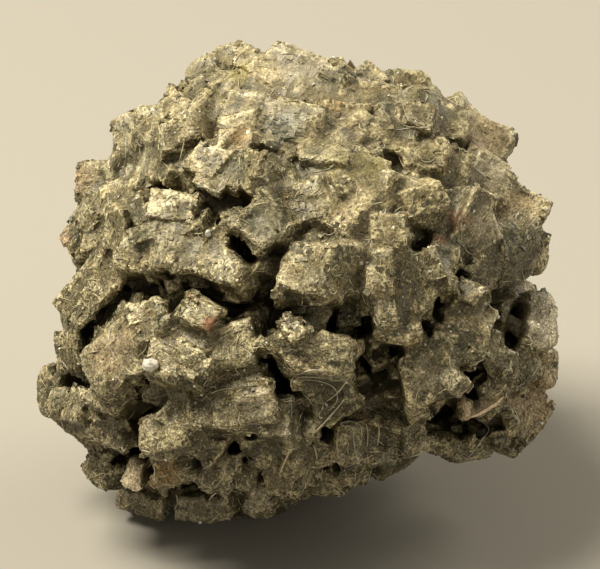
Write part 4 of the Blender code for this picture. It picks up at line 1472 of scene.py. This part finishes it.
# %% [markdown]
# ## Dust, grime, painted shade and rubbed rims
# Dust lies thin on all that is open and faces up, and thick on the crown. The
# grooves are darkened, partly for grime and partly as painted shade, rims are made
# paler, partly as rubbed wear and partly as a painted highlight, and the foot of the
# stone is darkened as painted shade. One even veil would hide the crystals, so noise
# breaks each layer up.

# %% Layers over the metal
DUST = colour(0.39, 0.318, 0.165)
GRIME_AND_SHADE = colour(0.045, 0.035, 0.018)
# Pale colour for rubbed rims, lint lines and pale grains, and for the painted highlight on rims and lit
# faces.
PALE_MARK_AND_HIGHLIGHT = colour(0.56, 0.49, 0.295)
DIM_BELOW, BRIGHT_ABOVE = 3 * MM, 12 * MM


def dust_cover(nodes):
    """The share of dust: the larger of a thin veil by facing, and thick dust by settling."""
    thin = nodes.times(
        nodes.span(nodes.upward, -0.35, 0.9), nodes.span(nodes.open, 0.25, 0.8),
        nodes.span(nodes.grainy, 0.42, 0.66, 0.1, 1.0), nodes.span(nodes.patchy, 0.38, 0.64, 0.12, 1.0), 0.5)
    thick = nodes.times(
        nodes.settled, nodes.span(nodes.patchy, 0.38, 0.62, 0.05, 0.55),
        nodes.span(nodes.mottled, 0.38, 0.6, 0.35, 1.0))
    return nodes.math("MAXIMUM", thin, thick)


def dusted(nodes, base, dust):
    """Dust, then grime and painted shade by the groove value, then pale rims as wear and painted highlight,
    then the foot darkened as painted shade.
    """
    base = nodes.mix(dust, base, DUST)
    # Grooves darken: partly grime, partly painted shade in the creases.
    base = nodes.mix(nodes.span(nodes.number("groove"), 0.08, 0.75, 0.0, 0.6), base, GRIME_AND_SHADE)
    # Convex rims are made paler: partly rubbed wear, partly a painted highlight along the edges.
    rubbed_rim_and_highlight = nodes.times(nodes.span(nodes.number("rim"), 0.05, 0.5), nodes.span(nodes.grainy, 0.4, 0.6), 0.8)
    base = nodes.mix(rubbed_rim_and_highlight, base, PALE_MARK_AND_HIGHLIGHT)
    # Painted shade: the colour is darker towards the bottom, 0.6 below 3 mm up to full above 12 mm.
    return nodes.scaled(base, nodes.span(nodes.height_of(nodes.where), DIM_BELOW, BRIGHT_ABOVE, 0.6, 1.0))


# %% [markdown]
# ## Felt, flecks and grains
# Between the hairs that have a mesh, the stone is felted with finer ones, and every
# face is a mosaic of grains, a few of them pale. A mesh of these would have millions
# of triangles. So fine lines are drawn where a noise passes its middle value, some
# of them along the crystal's own axis, and random cells stand for the grains. Both
# are real, but they show most on open faces that turn up, where light falls, which
# is a painted highlight.

# %% Fine marks
def felt_cover(nodes):
    """Fine lines where a noise is nearly at its middle: two felted ones, and one by the streaks."""
    first = nodes.gap(nodes.noise(0.34, detail=2, roughness=0.5, distortion=1.6), 0.5)
    second = nodes.gap(nodes.noise(0.21, detail=2, roughness=0.5, distortion=2.2), 0.47)
    felted = nodes.span(nodes.math("MINIMUM", first, second), 0.006, 0.03, 1.0, 0.0)
    grown = nodes.span(nodes.gap(nodes.streaks, 0.5), 0.006, 0.035, 0.7, 0.0)
    # Times lit: the lines are paler where light falls, a painted highlight.
    return nodes.times(nodes.math("MAXIMUM", felted, grown), nodes.lit, 0.28)


def fleck_cover(nodes):
    """One grain in ten or so is pale, in patches, where light falls and dust is thin."""
    pale = nodes.math("GREATER_THAN", nodes.cells(0.05), 0.78)
    bare = nodes.math("MULTIPLY_ADD", nodes.settled, -0.6, 1.0)
    # Times lit: the pale grains show where light falls, a painted highlight.
    return nodes.times(pale, nodes.span(nodes.patchy, 0.4, 0.62, 0.12, 0.6), nodes.lit, bare)


def brightness(nodes):
    """The grain's own lightness times the crystal's tone times the streaks along it."""
    low = nodes.math("MULTIPLY_ADD", nodes.settled, 0.25, 0.5)
    high = nodes.math("MULTIPLY_ADD", nodes.settled, -0.35, 1.65)
    grain = nodes.span(nodes.cells(0.06), 0.0, 1.0, low, high)
    tone = nodes.math("MULTIPLY_ADD", nodes.tone, 0.26, 0.97)
    return nodes.times(grain, tone, nodes.span(nodes.streaks, 0.36, 0.62, 0.84, 1.14))


# %% [markdown]
# ## How it takes the light
# Dusty tarnish is dull, while single grains of fresh metal glint. Making all of it
# metallic would turn it to foil, so only rare cells are nearly metal and smooth. A
# fine relief of creases, grains and streaks goes into a bump, because it is finer
# than any triangle here.

# %% Glints and relief
def add_glints(nodes, dust):
    """Nearly all of it rough and hardly metallic, rare open cells smooth and metallic."""
    fresh = nodes.times(nodes.math("GREATER_THAN", nodes.cells(0.11), 0.93), nodes.span(nodes.open, 0.3, 0.6))
    rough = nodes.span(dust, 0.0, 1.0, 0.42, 0.85)
    nodes.give("Metallic", nodes.span(fresh, 0.0, 1.0, 0.12, 0.8))
    nodes.give("Roughness", nodes.times(rough, nodes.span(fresh, 0.0, 1.0, 1.0, 0.35)))
    nodes.give("Specular IOR Level", 0.4)


def add_relief(nodes):
    """A bump of grainy noise - 2 creases + 0.7 streaks + 0.6 fine grains, weaker under dust."""
    creases = nodes.gap(nodes.noise(0.2, detail=3, roughness=0.65, distortion=0.8), 0.5)
    relief = nodes.math("MULTIPLY_ADD", creases, -2.0, nodes.grainy)
    relief = nodes.math("MULTIPLY_ADD", nodes.streaks, 0.7, relief)
    relief = nodes.math("MULTIPLY_ADD", nodes.noise(0.06, detail=2, roughness=0.6), 0.6, relief)
    nodes.bump(relief, nodes.math("MULTIPLY_ADD", nodes.settled, -0.25, 0.9), distance=0.014)


# %% [markdown]
# ## The tarnished finish
# One material serves the surface and its crust, so that a chip never differs from
# the face below it. The layers go on from the metal outwards. The stains, with
# painted shade and light among them, go between the dust and the felt, and once
# more, thinly, over the flecks, because a stain soaks all of them. Deep hollows end
# a little darker, as painted shade.

# %% Put the layers together
def tarnish_material():
    """Metal, dust, stains with painted shade and light, felt, flecks, grains and painted deep shade, one over
    the other.
    """
    nodes = Tarnish("tarnished arsenic")
    dust = dust_cover(nodes)
    base = dusted(nodes, bare_metal(nodes), dust)
    stain_and_painted_light_layer = nodes.add("ShaderNodeAttribute", attribute_name="stain_and_painted_light").outputs
    cover = nodes.times(stain_and_painted_light_layer["Alpha"], nodes.span(nodes.grainy, 0.38, 0.6, 0.65, 1.0),
                        nodes.span(nodes.mottled, 0.4, 0.58, 0.75, 1.05))
    base = nodes.mix(cover, base, stain_and_painted_light_layer["Color"])
    base = nodes.mix(felt_cover(nodes), base, PALE_MARK_AND_HIGHLIGHT)
    base = nodes.mix(fleck_cover(nodes), base, PALE_MARK_AND_HIGHLIGHT)
    base = nodes.mix(nodes.times(cover, 0.3), base, stain_and_painted_light_layer["Color"])
    base = nodes.scaled(base, brightness(nodes))
    # Painted shade: spots that lie shut are mixed towards the dark colour.
    nodes.give("Base Color", nodes.mix(nodes.span(nodes.open, 0.08, 0.55, 0.2, 0.0), base, GRIME_AND_SHADE))
    add_glints(nodes, dust)
    add_relief(nodes)
    return nodes.material


tarnish = tarnish_material()
for piece in [surface] + chips:
    piece.data.materials.append(tarnish)
print(tarnish.name, len(tarnish.node_tree.nodes), "nodes")

# %% [markdown]
# ## Lint and grains
# Lint is cream cotton, dusty and a little uneven along its length. The grains are
# dull quartz and salt, and the ledge is tan. A plain colour would look like plastic
# at this size, so a noise darkens parts of each, and a bump makes the grains crumbly.

# %% Two kinds of dull material
def patched(nodes, tint, dark, size, detail, low, high):
    """The tint, with dark times the tint where the noise is low; gives the noise."""
    patch = nodes.noise(size, detail)
    darker = colour(*(dark * part for part in tint[:3]))
    nodes.give("Base Color", nodes.mix(nodes.span(patch, low, high), darker, tint))
    return patch


def lint_material(name, tint):
    """Pale fibre, a little uneven along its length."""
    nodes = Nodes(name)
    patched(nodes, tint, dark=0.55, size=0.4, detail=2, low=0.3, high=0.7)
    nodes.give("Roughness", 0.6)
    return nodes.material


def grain_material(name, tint, rough):
    """Stone grain: one tint, patchy by noise, with a crumbly bump."""
    nodes = Nodes(name)
    patch = patched(nodes, tint, dark=0.6, size=0.12, detail=3, low=0.35, high=0.6)
    nodes.give("Roughness", rough)
    nodes.bump(patch, strength=0.7, distance=0.012)
    return nodes.material


white = grain_material("white grain", colour(0.70, 0.66, 0.57), 0.45)
dusty_lint = lint_material("dusty lint", colour(0.66, 0.59, 0.39))
DULL_FINISHES = (
    (white_grain, white),
    (small_white_grain, white),
    (specks, grain_material("pale speck", colour(0.72, 0.68, 0.56), 0.4)),
    (yellow_grain, grain_material("yellow grain", colour(0.58, 0.50, 0.27), 0.5)),
    (ledge, grain_material("tan ledge", colour(0.74, 0.58, 0.40), 0.55)),
    (hairs, dusty_lint),
    (seen_fibres, dusty_lint),
    (fibres, lint_material("pale lint", colour(0.66, 0.62, 0.50))),
)
for piece, material in DULL_FINISHES:
    piece.data.materials.append(material)
    print(piece.name, "is", material.name)

# %% [markdown]
# ## Tie the pieces to the frame
# The new surface takes the place of the frame's plain solid, and everything else
# lies on it. Nothing on a stone moves, so all pieces ride the one body.

# %% Tie them
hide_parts("arsenic_crystal_cluster")
print(surface.name, "takes the place of the solid")
for piece in [surface] + chips:
    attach(piece, "root")
for piece in (hairs, fibres, seen_fibres, ledge, specks, white_grain, small_white_grain, yellow_grain):
    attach(piece, "root")

# %% [markdown]
# ## Floor and light
# The stone lies in warm light from the upper left, on something pale. Many small
# lamps would speckle the fresh metal, so one broad key lamp does most of the work. A
# weak fill lamp at the lower right and a back lamp keep the far rim from going black,
# and a pale world fills the shadows. A plain pale floor stands for the table.

# %% Stage
FLOOR_HALF = 600
FLOOR_DROP = 0.02
FLOOR_COLOUR = colour(0.36, 0.34, 0.30)
WARM = (1.0, 0.93, 0.77)
ROOM_COLOUR = colour(1.0, 0.93, 0.82)
ROOM_LIGHT = 0.2


def make_floor():
    """A square plate 1.2 metres wide, two hundredths of a millimetre under the stone."""
    corners = np.array(((-1, -1, 0), (1, -1, 0), (1, 1, 0), (-1, 1, 0))) * FLOOR_HALF
    floor = write_object("floor", corners - (0, 0, FLOOR_DROP), np.array(((0, 1, 2, 3),)))
    material = bpy.data.materials.new("pale floor")
    material.use_nodes = True
    shader = material.node_tree.nodes["Principled BSDF"]
    shader.inputs["Base Color"].default_value = FLOOR_COLOUR
    shader.inputs["Roughness"].default_value = 0.9
    floor.data.materials.append(material)


def make_lamp(name, offset, size, power):
    """A square lamp at an offset in metres from the ball's centre, aimed at it."""
    lamp = bpy.data.lights.new(name, "AREA")
    lamp.shape = "SQUARE"
    lamp.size = size
    lamp.energy = power
    lamp.color = WARM
    holder = bpy.data.objects.new(name, lamp)
    bpy.context.scene.collection.objects.link(holder)
    holder.location = Vector(BALL_CENTRE * MM) + Vector(offset)
    holder.rotation_euler = (-Vector(offset)).to_track_quat("-Z", "Y").to_euler()


make_floor()
make_lamp("key lamp", offset=(-0.14, -0.01, 0.26), size=0.15, power=1.67)
make_lamp("fill lamp", offset=(0.24, -0.12, 0.03), size=0.2, power=0.16)
make_lamp("back lamp", offset=(0.22, 0.16, 0.14), size=0.2, power=0.6)
world = bpy.data.worlds.new("pale room")
world.use_nodes = True
background = world.node_tree.nodes["Background"]
background.inputs["Color"].default_value = ROOM_COLOUR
background.inputs["Strength"].default_value = ROOM_LIGHT
bpy.context.scene.world = world
bpy.context.scene.view_settings.view_transform = "Standard"
print(len(bpy.data.lights), "lamps")

# %% [markdown]
# ## Camera
# The eye is 25 degrees above level. A short lens near the stone would swell the
# crystals in its middle. So a long lens looks at it from seven times its width away.

# %% Aim the camera
DISTANCE = 0.15
FIELD = 0.0228  # metres across the picture at that distance
SENSOR = 36
PICTURE_SHIFT = (5 / 600, 0.0008)  # how far the ball lies off the middle, against the width
camera_data = bpy.data.cameras.new("camera")
camera_data.sensor_width = SENSOR
camera_data.lens = DISTANCE / FIELD * SENSOR
camera_data.shift_x, camera_data.shift_y = PICTURE_SHIFT
camera_data.clip_start = 0.01
camera = bpy.data.objects.new("camera", camera_data)
camera.location = Vector((BALL_CENTRE + TOWARD * DISTANCE / MM) * MM)
camera.rotation_euler = (-Vector(TOWARD)).to_track_quat("-Z", "Y").to_euler()
bpy.context.scene.collection.objects.link(camera)
bpy.context.scene.camera = camera
print("lens", round(camera_data.lens), "mm")
